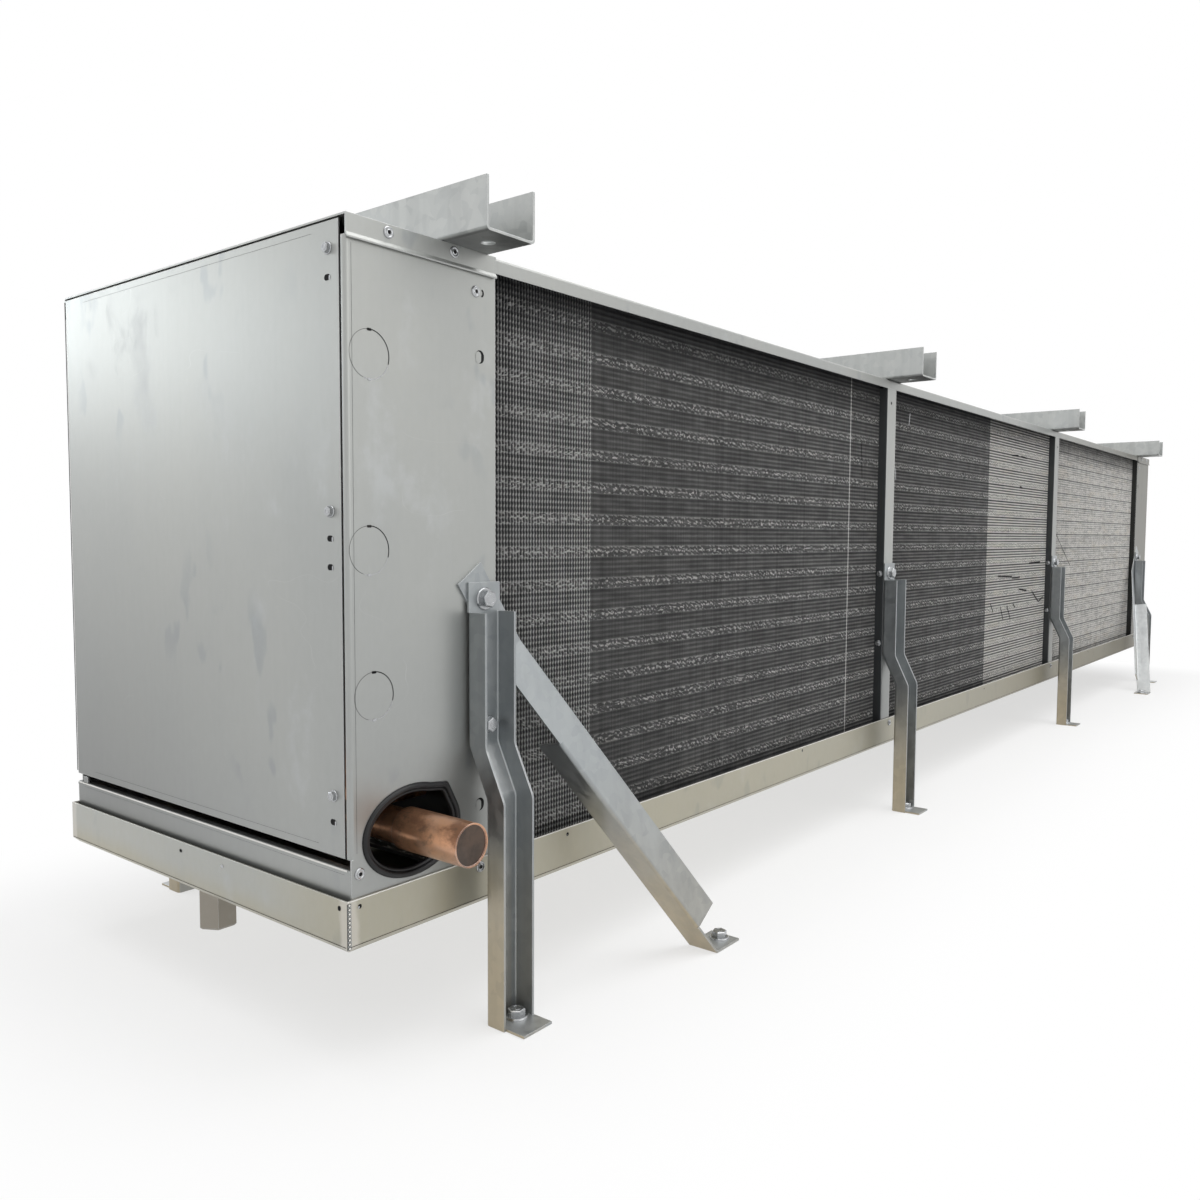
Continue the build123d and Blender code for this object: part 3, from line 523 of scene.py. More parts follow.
class Pile:  # gathers many small shapes into one mesh
    def __init__(self):
        self.points, self.faces, self.smooth = [], [], []

    def add(self, points, faces, matrix=Matrix(), smooth=False):
        start = len(self.points)
        self.points += [matrix @ Vector(point) for point in points]
        self.faces += [[start + index for index in face] for face in faces]
        self.smooth += [smooth] * len(faces)

    def addBox(self, low, high):
        points = [(x, y, z) for x in (low[0], high[0]) for y in (low[1], high[1]) for z in (low[2], high[2])]
        faces = [(0, 1, 3, 2), (4, 6, 7, 5), (0, 4, 5, 1), (2, 3, 7, 6), (0, 2, 6, 4), (1, 5, 7, 3)]
        self.add(points, faces)

    def addLoops(self, loops, matrix=Matrix(), ring=False, capped=False, smooth=True):
        # faces between neighbouring loops of points, and from the last to the first in a ring
        sides, count = len(loops[0]), len(loops)
        faces = []
        for step in range(count if ring else count - 1):
            here, there = step * sides, (step + 1) % count * sides
            for side in range(sides):
                after = (side + 1) % sides
                faces.append((here + side, here + after, there + after, there + side))
        if capped:
            faces += [range(sides)[::-1], range((count - 1) * sides, count * sides)]
        self.add([point for loop in loops for point in loop], faces, matrix, smooth)

    def addLathe(self, profile, sides, matrix, smooth=True):
        # a profile of (radius, height) from the base to the top, with a sharp cap at both ends
        loops = [[polar(radius, angle, height) for angle in circle(sides)] for radius, height in profile]
        self.addLoops(loops, matrix, smooth=smooth)
        self.add(loops[0], [range(sides)[::-1]], matrix)
        self.add(loops[-1], [range(sides)], matrix)

    def addRing(self, height, radius, wire, steps, matrix, sides=6):
        loops = []
        for angle in circle(steps):
            rims = [(radius + wire * math.cos(turn), wire * math.sin(turn)) for turn in circle(sides)[::-1]]
            loops.append([polar(reach, angle, height + rise) for reach, rise in rims])
        self.addLoops(loops, matrix, ring=True)

    def addTube(self, line, radius, sides, matrix=Matrix()):
        loops = []
        for index, point in enumerate(line):
            ahead = line[min(index + 1, len(line) - 1)] - line[max(index - 1, 0)]
            turn = ahead.to_track_quat("Z", "Y").to_matrix()
            loops.append([point + turn @ polar(radius, angle) for angle in circle(sides)])
        self.addLoops(loops, matrix, capped=True)

    def build(self, name, material, stands=()):
        piece = addPiece(name, self.points, self.faces, materials[material])
        piece.data.polygons.foreach_set("use_smooth", self.smooth)
        piece.data.update()
        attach(piece, "root")
        if stands:
            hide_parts(*stands)


def facing(point, direction, roll=0):
    # matrix that puts a shape's +Z along direction at point
    turn = Vector(direction).to_track_quat("Z", "Y").to_matrix().to_4x4()
    return Matrix.Translation(point) @ turn @ Matrix.Rotation(roll, 4, "Z")


# Coil fins: packs run from one x to another with a pitch, a painted brightness, a painted glint and
# a swing of the painted ripple lines that grows
finSettings = {
    "frontY": 0.015, "depth": 0.215, "bottom": 0.0122, "top": 0.6552, "hem": 0.0003, "ripple": 0.0003,
    "stripDepth": 0.012, "lip": 0.22, "lipEnd": 0.34, "endGap": 0.0006, "scatter": 0.00012, "seed": 40,
    "coarseFrom": 0.004, "coarseShades": (2.1, 0.42), "fineShades": (1.25, 0.88), "backShade": 1,
    "stepsPerRipple": 4, "frontColumns": 4, "backColumns": (4, 5), "brightReach": 0.7,
    "bays": [(0.1866, 1.1807), (1.2193, 2.2767), (2.3153, 3.3094)],
    "packs": [
        (0, 0.361, 0.00465, 0.37, 0.9, 0.8, 0.8), (0.361, 1.063, 0.00232, 0.2, 0.8, 0.5, 1),
        (1.063, 1.793, 0.00232, 0.178, 0.7, 1, 1.2), (1.793, 2.29, 0.00232, 0.72, 0.35, 1.75, 1.85),
        (2.29, 3.5, 0.00232, 0.7, 0.35, 0.6, 0.4),
    ],
    "brightFin": 1.063, "brightShade": 1.1,
}


def finLevels(low, high, coarse):  # the heights at which a fin has points
    if not coarse:
        return [low, high]
    count = int((high - low) / (finPattern["ripplePitch"] / finSettings["stepsPerRipple"]))
    return [low + (high - low) * level / count for level in range(count + 1)]


# the front strip of each fin is painted lighter and the part deeper in painted darker, as painted shade between
# the fins
def finColumns(pitch, coarse):  # (across, inward, shade) of a fin's upright lines of points
    own = finSettings
    rise, fall = own["coarseShades" if coarse else "fineShades"]
    return [
        (own["hem"], 0, rise), (0, 0, rise), (0, own["lip"] * pitch, rise),
        (0, own["lipEnd"] * pitch, fall), (0, own["stripDepth"], fall),
        (0, own["depth"], fall), (own["hem"], own["depth"], own["backShade"]),
    ]


def makeFins(index, bay):
    own = finSettings
    random.seed(own["seed"] + index)
    points, faces = [], []
    values = {"packShade": [], "packGlint": [], "packSwing": [], "finSeed": []}
    low = place(0, own["frontY"], own["bottom"])
    high = place(0, own["frontY"], own["top"])
    for start, end, pitch, shade, glint, swingFrom, swingTo in own["packs"]:
        coarse = pitch > own["coarseFrom"]
        heights, columns = finLevels(low.z, high.z, coarse), finColumns(pitch, coarse)
        width, last = len(columns), len(heights) - 1
        x = max(start, bay[0] + own["endGap"])
        while x < min(end, bay[1] - own["endGap"]):
            finX = casing["nearX"] + x + random.uniform(-own["scatter"], own["scatter"])
            seed = random.random()
            swing = swingFrom + (swingTo - swingFrom) * (x - start) / (end - start)
            # a bent fin that catches the light gets a painted highlight
            isBright = abs(x - own["brightFin"]) < pitch * own["brightReach"]
            glow = own["brightShade"] if isBright else shade
            base = len(points)
            for z in heights:
                turn = 2 * math.pi * z / finPattern["ripplePitch"]
                wave = own["ripple"] * math.sin(turn) if coarse else 0
                for column, (across, inward, share) in enumerate(columns):
                    bend = wave if column < own["frontColumns"] else 0
                    points.append((finX + across + bend, low.y + inward, z))
                    for label, value in zip(values, (glow * share, glint, swing, seed)):
                        values[label].append(value)
            for level in range(last):
                for column in range(own["frontColumns"]):
                    a = base + level * width + column
                    faces.append((a, a + 1, a + 1 + width, a + width))
            for column in own["backColumns"]:  # plain sheet behind the rippled strip
                a, top = base + column, base + last * width + column
                faces.append((a, a + 1, top + 1, top))
            x += pitch
    piece = addPiece(f"coilFins{index}", points, faces, materials["finMetal"])
    for label, numbers in values.items():
        piece.data.attributes.new(label, "FLOAT", "POINT").data.foreach_set("value", numbers)
    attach(piece, "root")
    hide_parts(f"coil_bay_{index}")


for index, bay in enumerate(finSettings["bays"], 1):
    makeFins(index, bay)
print("stage: coil fins made")

# Tubes through the fins, every other column half a row higher
tubeSettings = {
    "radius": 0.0079, "rows": 16, "rowsBelow": 2, "deep": [0.034, 0.067, 0.1, 0.133, 0.166, 0.199],
    "sides": 10, "lowest": 0.02, "highest": 0.64, "endGap": 0.0006,
}
own, tubes = tubeSettings, Pile()
firstRow = finPattern["firstRow"] - casing["panZ"] - rowPitch * own["rowsBelow"]
for start, end in finSettings["bays"]:
    for level in range(own["rows"]):
        for column, inward in enumerate(own["deep"]):
            z = firstRow + rowPitch * (level + 0.5 * (column % 2))
            if own["lowest"] < z < own["highest"]:
                ends = start + own["endGap"], end - own["endGap"]
                tubes.addTube([place(x, inward, z) for x in ends], own["radius"], own["sides"])
tubes.build("coilTubes", "copperTube")
print("stage: coil tubes made")

# Bolts, screws and rivets: across the flats, washer, its height, the head's height, its rounding;
# each bolt is turned by a share of one of its places
boltSettings = {
    "flange": (0.0158, 0.0118, 0.0022, 0.0092, 0.0009), "hex": (0.0134, 0.0094, 0.0014, 0.0082, 0.0006),
    "screw": (0.008, 0.0056, 0.001, 0.0042, 0.0004),
    "washerEdge": 0.6, "washerSlope": 0.4, "seat": 0.8, "crown": 0.88, "stampShare": 0.5, "stampLine": 0.0003,
    "roundSides": 24,
    "rivet": [
        (0.0057, 0), (0.0056, 0.0007), (0.0046, 0.0015), (0.0037, 0.0013), (0.0033, 0.0007),
        (0.0026, 0.0012), (0.0019, 0.0013),
    ],
    "pitAt": 0.00135,
}
boltPlaces = {
    "legs": [(0.165, 0.0052), (1.2, 0.0026), (2.296, 0.0026), (3.331, 0.0052)], "sides": [(-1, 0), (1, 0.538)],
    "legBolts": [
        ("flange", 0, 0, 0.316, 5), ("hex", 0.004, 0.0001, 0.187, 3), ("flange", 0.0067, 0.038, -0.1114, 7),
    ],
    "braceFeet": [
        (-1.2695, -0.3645, 0.0026, 0.3), (1.2695, -0.3612, 0.0026, 0.9),
        (-1.2695, 0.401, 0.0026, 1.7), (1.2695, 0.401, 0.0026, 2.2),
    ],
    "endScrews": [(-0.0001, 0.0244, 0.6337), (-0.0001, 0.0244, 0.401), (-0.0001, 0.0244, 0.141)],
    "posts": [(1.1808, 0.0085, 0.314), (1.1808, 0.0085, 0.188), (2.2768, 0.0085, 0.314), (2.2768, 0.0085, 0.188)],
    "fanScrews": (0.478, 0.5381, (0.085, 0.3, 0.45, 0.62)), "endTurn": 9, "fanTurn": 11,
    "endRivets": [
        (0.1585, -0.0001, 0.6222), (0.0092, -0.0001, 0.0708), (0.0472, -0.0017, 0.6536), (0.1282, -0.0017, 0.6536),
        (0.0472, 0.5381, 0.65), (0.1282, 0.5381, 0.65),
    ],
    "panRivets": [(x, -0.002, 0.039) for x in (0.1615, 1.215, 2.294, 3.3345)],
}
bolts = Pile()
rivetPits = []


def addBolt(kind, point, direction, roll=0):
    shape = boltSettings
    flat, washer, base, top, domed = shape[kind]
    across = flat / 2 / math.cos(math.pi / 6)
    matrix = facing(point, direction, roll)
    profile = [(washer, 0), (washer, base * shape["washerEdge"]), (washer - base * shape["washerSlope"], base)]
    bolts.addLathe(profile, shape["roundSides"], matrix)
    head = [(across, base * shape["seat"]), (across, top - domed), (across * shape["crown"], top)]
    bolts.addLathe(head, 6, matrix, False)
    bolts.addRing(top, across * shape["stampShare"], shape["stampLine"], shape["roundSides"], matrix)


# the pit is a near-black disc of painted shade
def addRivet(point):  # domed head with a dark pit in the middle
    direction = towardsCoil if point.y < 0 else towardsFans
    bolts.addLathe(boltSettings["rivet"], boltSettings["roundSides"], facing(point, direction))
    rivetPits.append((point + Vector(direction) * boltSettings["pitAt"], direction))


def addAllBolts(own):
    for x, sheet in own["legs"]:
        for side, y in own["sides"]:
            for kind, across, proud, z, turn in own["legBolts"]:
                direction = upwards if z < 0 else (0, side, 0)
                addBolt(kind, place(x + across, y + side * (sheet + proud), z), direction, x * turn)
    for *corner, turn in own["braceFeet"]:
        addBolt("flange", Vector(corner), upwards, turn)
    for offset, y, z in own["endScrews"]:
        for x, side in bothEnds(offset):
            addBolt("screw", place(x, y, z), (-side, 0, 0), z * own["endTurn"])
    for x, y, z in own["posts"]:
        addBolt("screw", place(x, y, z), towardsNear, z)
    reach, y, heights = own["fanScrews"]
    for centre in fanCentres:
        for side in (-1, 1):
            for z in heights:
                x = centre - casing["nearX"] + side * reach
                addBolt("screw", place(x, y, z), towardsFans, z * own["fanTurn"])
    for offset, y, z in own["endRivets"]:
        for x, side in bothEnds(offset):
            addRivet(place(x, y, z))
    for point in own["panRivets"]:
        addRivet(place(*point))


addAllBolts(boltPlaces)
bolts.build("boltsAndScrews", "zincPlate")
print("stage: bolts and screws made")

# Knockouts, holes and scores drawn on the sheets, with painted shade in holes, pits, folds and
# gaps, and painted highlights on edges, rims and bent fins
# dark pieces are painted shade in holes, pits, folds and gaps, apart from the scores on the fins; pale edge pieces
# and strips are painted highlights
markPieces = {
    "hole": ("holesAndSlots", "darkHollow"), "edge": ("pressedEdges", "zincPlate"),
    "sheet": ("sheetBehindHoles", "casingSheet"), "score": ("scoreLines", "darkHollow"),
    "wearAndHighlight": ("rubbedEdges", "rubbedEdge"),
}
markSettings = {
    "proud": 0.00015, "raised": 0.0003, "arcStep": 0.09, "arcLeast": 6, "discSides": 24,
    "knockouts": [(0.0256, 0.542), (0.0237, 0.366), (0.0277, 0.2325)], "knockoutRadius": 0.0223,
    "knockoutArcs": [("hole", 0.00091, -0.3, 1.5), ("hole", 0.000315, 1.7, 4.4), ("edge", 0.00077, 4.45, 5.95)],
    "knockoutTabs": [("edge", -0.0223, 0.0044, 0.0026, 0.0003), ("hole", 0.0219, 0.0054, 0.0024, 0.0002)],
    "panelHoles": (0.0255, (0.6084, 0.3766, 0.3507, 0.1163)), "panelHole": (0.0082, 0.0056),
    "panelGlint": (-0.0036, -0.0006, 0.002, 0.0042),
    "sheetHoles": [(0.164, 0.5586), (0.1626, 0.104)], "sheetHole": (0.0118, 0.0132),
    "sheetReturn": (0.0021, -0.0006, 0.0076, 0.0116),
    "keyholeAt": (0.1655, 0.6218), "keyhole": (0.0034, 0.0016), "keyholeArc": (-1.3, 1.2),
    "postHoles": [(1.196, 0.62), (2.3, 0.62)], "postHole": (0.0052, 0.0052),
    "panHoles": [(0.872, 0.043), (1.75, 0.04), (0.0075, 0.0415), (0.3, 0.041), (2.7, 0.041)],
    "panHole": (0.0044, 0.0044), "panFace": -0.0019, "panGlint": (-0.0012, -0.0006, 0.0018, 0.0026),
    "panEndMarks": [
        ("hole", 0.2845, 0.039, 0.005, 0.0034), ("edge", 0.2035, 0.039, 0.005, 0.0034),
        ("hole", 0.0095, 0.041, 0.004, 0.0048),
    ],
    "panEnd": -0.0067, "rivetPit": 0.0038, "weldAt": (-0.0042, -0.002, 0.0055), "weldStep": 0.004, "welds": 11,
    "weldDark": (0.0034, 0.0032), "weldBright": (0.0024, 0.0022),
}
# Straight marks: pile, start, end, the way across and the width
# the thin dark lines are painted shade in folds and at gaps along the edges, the widest at the fan-side edge; the
# pale strip along the sill's top lip is a painted highlight
endStrips = [  # at both ends
    ("score", (0.0064, -0.0001, 0.09), (0.0064, -0.0001, 0.636), lengthwise, 0.00025),
    ("score", (-0.0001, 0.048, 0.0925), (-0.0001, 0.49, 0.0925), upwards, 0.00022),
    ("score", (-0.0001, 0.048, 0.65), (-0.0001, 0.49, 0.65), upwards, 0.00022),
    ("score", (-0.0001, 0.01, 0.0702), (-0.0001, 0.52, 0.0702), upwards, 0.00016),
    ("score", (-0.0002, 0.5367, 0.088), (-0.0002, 0.5367, 0.656), towardsFans, 0.0022),
    ("wearAndHighlight", (-0.0002, 0.006, 0.0741), (-0.0002, 0.534, 0.0741), upwards, 0.0017),
]
# the dark lines are painted shade in the pan's bottom crease and along its near corner; the pale strip along the
# rim is a painted highlight; the last is a strip of casing sheet down the corner
panStrips = [
    ("score", (-0.004, -0.0021, 0.0062), (3.5, -0.0021, 0.0062), upwards, 0.00045),
    ("score", (-0.0068, 0, 0.0062), (-0.0068, 0.538, 0.0062), upwards, 0.00045),
    ("wearAndHighlight", (-0.006, -0.0021, 0.0484), (3.502, -0.0021, 0.0484), upwards, 0.0011),
    ("score", (-0.0066, -0.00205, 0.004), (-0.0066, -0.00205, 0.047), lengthwise, 0.0007),
    ("sheet", (-0.0042, -0.002, 0.004), (-0.0042, -0.002, 0.047), lengthwise, 0.0044),
]
# Marks on the coil face: pile, place in depth and width, then x and z of the start and the end
finMarks = [
    ("score", 0.0146, 0.0036, [
        (1.9584, 0.5771, 2.0101, 0.5798), (2.0314, 0.5793, 2.0795, 0.5772), (2.0286, 0.5053, 2.0504, 0.5024),
        (1.8774, 0.2898, 1.9882, 0.2854), (1.9886, 0.2822, 2.0522, 0.2829), (2.1262, 0.3159, 2.224, 0.3176),
        (2.0445, 0.2533, 2.1112, 0.2468), (2.1571, 0.2436, 2.2193, 0.2138), (2.2193, 0.2138, 2.2592, 0.2243),
        (1.8298, 0.2276, 1.8508, 0.2058), (1.904, 0.2164, 1.927, 0.1839), (1.954, 0.217, 1.9843, 0.1816),
        (2.0013, 0.2191, 2.0192, 0.2092),
    ]),
    ("score", 0.0146, 0.0022, [(2.3737, 0.3883, 2.5272, 0.3012), (1.1049, 0.5446, 1.1103, 0.4817)]),
    # bent fins that catch the light: pale strips of painted highlight
    ("edge", 0.0148, 0.0022, [(1.3213, 0.6149, 1.3164, 0.5909), (1.2563, 0.5078, 1.26, 0.4862)]),
    ("edge", 0.0148, 0.0012, [
        (1.2225, 0.401, 1.2233, 0.415), (1.2245, 0.408, 1.2253, 0.417), (1.2285, 0.47, 1.2293, 0.486),
    ]),
]
marks = {key: Pile() for key in markPieces}


def markAxes(normal):
    return lengthwise if abs(normal[1]) > 0.5 else towardsFans, upwards


def addArc(key, centre, radius, line, start, end, proud):  # on the coil side
    own = markSettings
    steps = max(own["arcLeast"], int((end - start) / own["arcStep"]))
    across, up = markAxes(towardsCoil)
    points = []
    for step in range(steps + 1):
        angle = start + (end - start) * step / steps
        ray = across * math.cos(angle) + up * math.sin(angle)
        for reach in (radius - line / 2, radius + line / 2):
            points.append(centre + ray * reach + towardsCoil * proud)
    faces = [(step * 2, step * 2 + 1, step * 2 + 3, step * 2 + 2) for step in range(steps)]
    marks[key].add(points, faces)


def addStrip(key, start, end, across, width):  # a thin straight strip
    start, end, half = place(*start), place(*end), Vector(across) * width / 2
    marks[key].add([start - half, start + half, end + half, end - half], [(0, 1, 2, 3)])


def addDisc(key, centre, width, height, normal, proud=markSettings["proud"]):
    # a disc, drawn out to a slot along its longer side
    across, up = markAxes(normal)
    reach, longer = min(width, height) / 2, abs(width - height) / 2
    sides, points = markSettings["discSides"], []
    for side in range(sides):
        angle = 2 * math.pi * (side + 0.5) / sides
        ray = across * math.cos(angle) + up * math.sin(angle)
        stretch = across if width > height else up
        shift = stretch * math.copysign(longer, ray.dot(stretch))
        points.append(centre + ray * reach + shift + Vector(normal) * proud)
    marks[key].add(points, [range(sides)])


def addKnockouts(own):
    for x, z in own["knockouts"]:
        centre = place(x, 0, z)
        # each knockout's ring: dark arcs of painted shade and a pale arc of painted highlight along the bottom,
        # with a pale tab below and a dark tab above
        for key, line, start, end in own["knockoutArcs"]:
            addArc(key, centre, own["knockoutRadius"], line, start, end, own["proud"])
        for key, rise, width, height, proud in own["knockoutTabs"]:
            addDisc(key, centre + upwards * rise, width, height, towardsCoil, proud)


def addEndMarks(own):
    y, heights = own["panelHoles"]
    inward, rise, *glint = own["panelGlint"]
    # slots at both ends: dark discs of painted shade, each with a small painted highlight beside it
    for x, side in bothEnds(0):
        for z in heights:
            addDisc("hole", place(x, y, z), *own["panelHole"], (-side, 0, 0))
            addDisc("edge", place(x, y + inward, z + rise), *glint, (-side, 0, 0), own["raised"])
    shift, drop, *shown = own["sheetReturn"]
    # holes in the coil face: dark discs of painted shade, each with a disc of casing sheet for the lit return
    # behind
    for offset, z in own["sheetHoles"]:  # with the lit return of the tube sheet behind
        for x, side in bothEnds(offset):
            addDisc("hole", place(x, 0, z), *own["sheetHole"], towardsCoil)
            addDisc("sheet", place(x - side * shift, 0, z + drop), *shown, towardsCoil, own["raised"])
    # the keyhole: an arc of painted shade
    offset, z = own["keyholeAt"]
    for x, side in bothEnds(offset):
        start, end = ((0 if side > 0 else math.pi) + angle for angle in own["keyholeArc"])
        addArc("hole", place(x, 0, z), *own["keyhole"], start, end, own["raised"])
    for key, start, end, across, width in endStrips:
        for x, side in bothEnds(start[0]):
            addStrip(key, (x, *start[1:]), (x, *end[1:]), across, width)


def addPanMarks(own):
    # holes in the coil posts: dark discs of painted shade
    for x, z in own["postHoles"]:
        addDisc("hole", place(x, 0, z), *own["postHole"], towardsCoil)
    shift, drop, *glint = own["panGlint"]
    # holes in the pan: dark discs of painted shade, each with a small painted highlight at its edge
    for x, z in own["panHoles"]:
        addDisc("hole", place(x, own["panFace"], z), *own["panHole"], towardsCoil)
        addDisc("edge", place(x + shift, own["panFace"], z + drop), *glint, towardsCoil, own["raised"])
    # on the pan's near end: dark discs of painted shade and a pale disc of painted highlight
    for key, y, z, width, height in own["panEndMarks"]:
        addDisc(key, place(own["panEnd"], y, z), width, height, towardsNear)
    for strip in panStrips:
        addStrip(*strip)
    # each weld spot: a dark ring of painted shade with a pale painted highlight inside
    for step in range(own["welds"]):  # weld spots down the corner
        spot = place(*own["weldAt"]) + upwards * step * own["weldStep"]
        addDisc("hole", spot, *own["weldDark"], towardsCoil)
        addDisc("wearAndHighlight", spot, *own["weldBright"], towardsCoil, own["raised"])


def addFinMarks():  # scores, and bent fins that catch the light
    for key, y, width, lines in finMarks:
        for x, z, farX, farZ in lines:
            along = Vector((farX - x, 0, farZ - z)).normalized()
            across = (-along.z, 0, along.x) if key == "score" else lengthwise
            addStrip(key, (x, y, z), (farX, y, farZ), across, width)


addKnockouts(markSettings)
addEndMarks(markSettings)
addPanMarks(markSettings)
addFinMarks()
# rivet pits as near-black discs of painted shade
for point, direction in rivetPits:
    addDisc("hole", point, markSettings["rivetPit"], markSettings["rivetPit"], direction, 0)
for key, (name, material) in markPieces.items():
    marks[key].build(name, material)
print("stage: knockouts and holes made")

# Closing strips behind the slot over each end sill: along x, then (y, z) of both corners
staySettings = [
    (0.003, 0.184, (0.53, 0.06), (0.5316, 0.1)), (0.0004, 0.003, (0.512, 0.0745), (0.523, 0.083)),
]
stays = Pile()
for x, side in bothEnds(0):
    for inner, outer, low, high in staySettings:
        ends = sorted((x + side * inner, x + side * outer))
        stays.addBox(place(ends[0], *low), place(ends[1], *high))
stays.build("sillStays", "casingSheet")
print("stage: sill stays made")

# Rubber edging round the suction opening; a bead has its inset, half width, half depth and place
edgingSettings = {
    "centre": (0.0735, 0.0976), "half": (0.061, 0.045), "peak": (0.74, 0.86), "shoulder": 0.3,
    "beads": [(0.0031, 0.0031, 0.0042, 0.0008), (0.0072, 0.002, 0.003, 0.0022)],
    "steps": 240, "sides": 12, "smoothings": 6, "parallel": 1e-12,
}


def openingLine(inset):
    own = edgingSettings
    halfX, halfZ = (half - inset for half in own["half"])
    peak = own["peak"][0] * halfX, own["peak"][1] * halfZ
    shoulder = halfX * math.sqrt(1 - own["shoulder"] ** 2), own["shoulder"] * halfZ
    line = []
    for angle in circle(own["steps"]):
        rayX, rayZ = math.cos(angle), math.sin(angle)
        reach = 1 / math.hypot(rayX / halfX, rayZ / halfZ)
        for a, b in (((0, halfZ), peak), (peak, shoulder)):
            alongX, alongZ = b[0] - a[0], b[1] - a[1]
            cross = rayX * alongZ - rayZ * alongX
            if abs(cross) < own["parallel"]:
                continue
            far = (a[0] * alongZ - a[1] * alongX) / cross
            share = (a[0] * rayZ - a[1] * rayX) / cross
            if far > 0 and 0 <= share <= 1:
                reach = max(reach, far)
        line.append(Vector((reach * rayX, 0, reach * rayZ)))
    for smoothing in range(own["smoothings"]):
        line = [(line[i - 1] + 2 * line[i] + line[(i + 1) % len(line)]) / 4 for i in range(len(line))]
    return line


own, edging = edgingSettings, Pile()
for inset, halfWidth, halfDepth, deepAt in own["beads"]:
    line, loops = openingLine(inset), []
    middle = place(own["centre"][0], deepAt, own["centre"][1])
    for index, point in enumerate(line):
        along = (line[(index + 1) % len(line)] - line[index - 1]).normalized()
        outward = Vector((along.z, 0, -along.x)) * halfWidth
        deep = towardsFans * halfDepth
        turns = circle(own["sides"])
        loops.append([middle + point + outward * math.cos(turn) + deep * math.sin(turn) for turn in turns])
    edging.addLoops(loops, ring=True)
edging.build("rubberEdging", "rubberEdging", ["suction_grommet"])
print("stage: rubber edging made")

# Wire guards on the fan side; every other spoke runs on to a foot, given by (outward, height)
guardSettings = {
    "rings": 15, "inner": 0.045, "outer": 0.2875, "wire": 0.0019, "spokes": 8, "spokeWire": 0.002,
    "standoff": 0.034, "ringSteps": 96, "spokeSides": 8, "firstSpoke": 22.5, "ringDrop": 0.0018,
    "spokeEnd": 0.006, "foot": [(0.002, 0.028), (0.003, 0.0006)],
}
for index, centre in enumerate(fanCentres, 1):
    own = guardSettings
    guard = Pile()
    hub = Vector((centre, casing["fanY"], fanAxisZ))
    matrix = Matrix.Translation(hub) @ Matrix.Rotation(-math.pi / 2, 4, "X")
    step = (own["outer"] - own["inner"]) / (own["rings"] - 1)
    for ring in range(own["rings"]):
        radius = own["inner"] + ring * step
        guard.addRing(own["standoff"] - own["ringDrop"], radius, own["wire"], own["ringSteps"], matrix)
    for spoke, turn in enumerate(circle(own["spokes"])):
        angle = math.radians(own["firstSpoke"]) + turn
        reaches = [(own["inner"], own["standoff"]), (own["outer"] - own["spokeEnd"], own["standoff"])]
        if spoke % 2 == 0:
            reaches += [(own["outer"] + outward, height) for outward, height in own["foot"]]
        line = [polar(reach, angle, height) for reach, height in reaches]
        guard.addTube(line, own["spokeWire"], own["spokeSides"], matrix)
    guard.build(f"wireGuard{index}", "zincPlate", [f"fan_guard_{index}"])
print("stage: guards made")

# Floor: white where the eye meets it away from the object, and shaded close to it
floorSettings = {
    "size": 60, "level": -0.0006, "half": (1.8, 0.33), "fade": (0, 0.34, 0.64, 1),
    "shader": {"Base Color": (0.95, 0.95, 0.95), "Roughness": 0.9, "Specular IOR Level": 0.1},
}


def seenDirectly(net):  # camera, glossy and transmission rays
    path = net.add("LightPath").outputs
    most = net.maths("MAXIMUM", path["Is Camera Ray"], path["Is Glossy Ray"])
    return net.maths("MAXIMUM", most, path["Is Transmission Ray"])


def makeFloor():
    own = floorSettings
    material, net, surface = newMaterial("paleFloor", own["shader"])
    spot = net.parts(net.spot())
    overs = []
    for axis in (0, 1):  # how far outside the object's footprint
        over = net.maths("MAXIMUM", net.minus(net.away(spot[axis]), own["half"][axis]), 0)
        overs.append(net.maths("POWER", over, 2))
    fade = net.ramp(net.maths("SQRT", net.plus(*overs)), *own["fade"])
    glow = net.add("Emission", {"Color": (1, 1, 1), "Strength": 1}).outputs[0]
    share = net.times(fade, seenDirectly(net))
    mix = net.add("MixShader", {0: share, 1: surface.outputs[0], 2: glow})
    net.put(net.tree.nodes["Material Output"].inputs["Surface"], mix.outputs[0])
    half, z = own["size"] / 2, own["level"]
    corners = [(-half, -half, z), (half, -half, z), (half, half, z), (-half, half, z)]
    floor = addPiece("floorPlane", corners, [(0, 1, 2, 3)], material)


makeFloor()

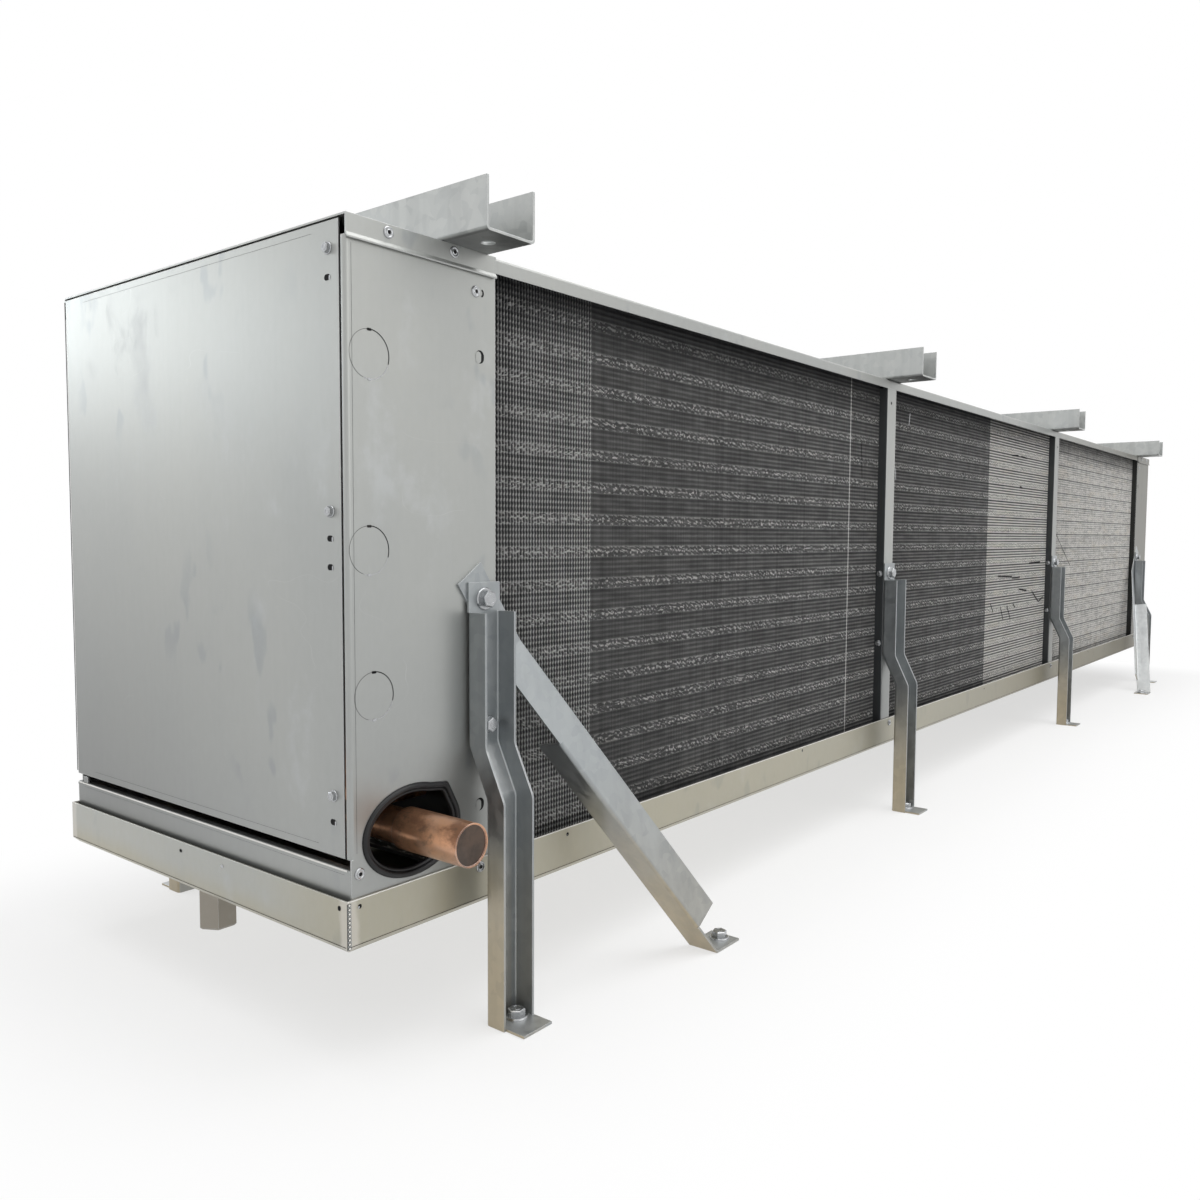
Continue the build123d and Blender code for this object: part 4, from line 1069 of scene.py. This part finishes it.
# Lamps: place, aim, size, power and colour
lightSettings = {
    "topSoft": ((-0.6, -0.9, 3.8), (-0.1, 0, 0.2), (5.5, 3.2), 120, (1, 1, 1)),
    "endSoft": ((-2.95, 3.5, 1.5), (-1.75, 0.2, 0.6), (1.1, 0.8), 17, (0.9, 0.96, 1)),
    "faceFill": ((-0.6, -5.2, 1.6), (-0.2, 0, 0.4), (4.5, 2.2), 34, (1, 1, 0.98)),
}
for name, (at, aim, size, power, colour) in lightSettings.items():
    lamp = bpy.data.lights.new(name, "AREA")
    lamp.shape, lamp.energy, lamp.color = "RECTANGLE", power, colour
    lamp.size, lamp.size_y = size
    holder = bpy.data.objects.new(name, lamp)
    holder.location = at
    holder.rotation_euler = (Vector(aim) - Vector(at)).to_track_quat("-Z", "Y").to_euler()
    bpy.context.scene.collection.objects.link(holder)

# World: a soft fill that is weaker from below, and plain white where it is seen
worldSettings = {"fill": (-0.2, 0.6, 0.15, 0.5), "colour": (1, 1, 1)}
world = bpy.data.worlds.new("paleRoom")
world.use_nodes = True
bpy.context.scene.world = world
net = Net(world.node_tree)
background = net.tree.nodes["Background"]
upward = net.parts(net.add("TexCoord").outputs["Generated"])[2]
fill = net.ramp(upward, *worldSettings["fill"])
seen = seenDirectly(net)
net.put(background.inputs["Color"], worldSettings["colour"])
net.put(background.inputs["Strength"], net.line(fill, net.minus(1, seen), seen))

# Camera
cameraSettings = {
    "at": (-2.3121, -1.0049, 0.4949), "yaw": 51.4556, "pitch": -3.6606, "roll": 0.3046,
    "lens": 30.359, "sensor": 36, "nearest": 0.02, "farthest": 200,
}
own = cameraSettings
yaw, pitch, roll = (math.radians(own[key]) for key in ("yaw", "pitch", "roll"))
ahead = Vector((math.sin(yaw) * math.cos(pitch), math.cos(yaw) * math.cos(pitch), math.sin(pitch)))
right = Vector((math.cos(yaw), -math.sin(yaw), 0))
up = right.cross(ahead)
rolledRight = right * math.cos(roll) + up * math.sin(roll)
rolledUp = up * math.cos(roll) - right * math.sin(roll)
lens = bpy.data.cameras.new("photoCamera")
lens.lens = own["lens"]
lens.sensor_width = own["sensor"]
lens.clip_start, lens.clip_end = own["nearest"], own["farthest"]
camera = bpy.data.objects.new("photoCamera", lens)
turn = Matrix((rolledRight, rolledUp, -ahead)).transposed()
camera.matrix_world = Matrix.Translation(own["at"]) @ turn.to_4x4()
bpy.context.scene.collection.objects.link(camera)
bpy.context.scene.camera = camera
bpy.context.scene.view_settings.view_transform = "Standard"
print("stage: floor, light and camera set")
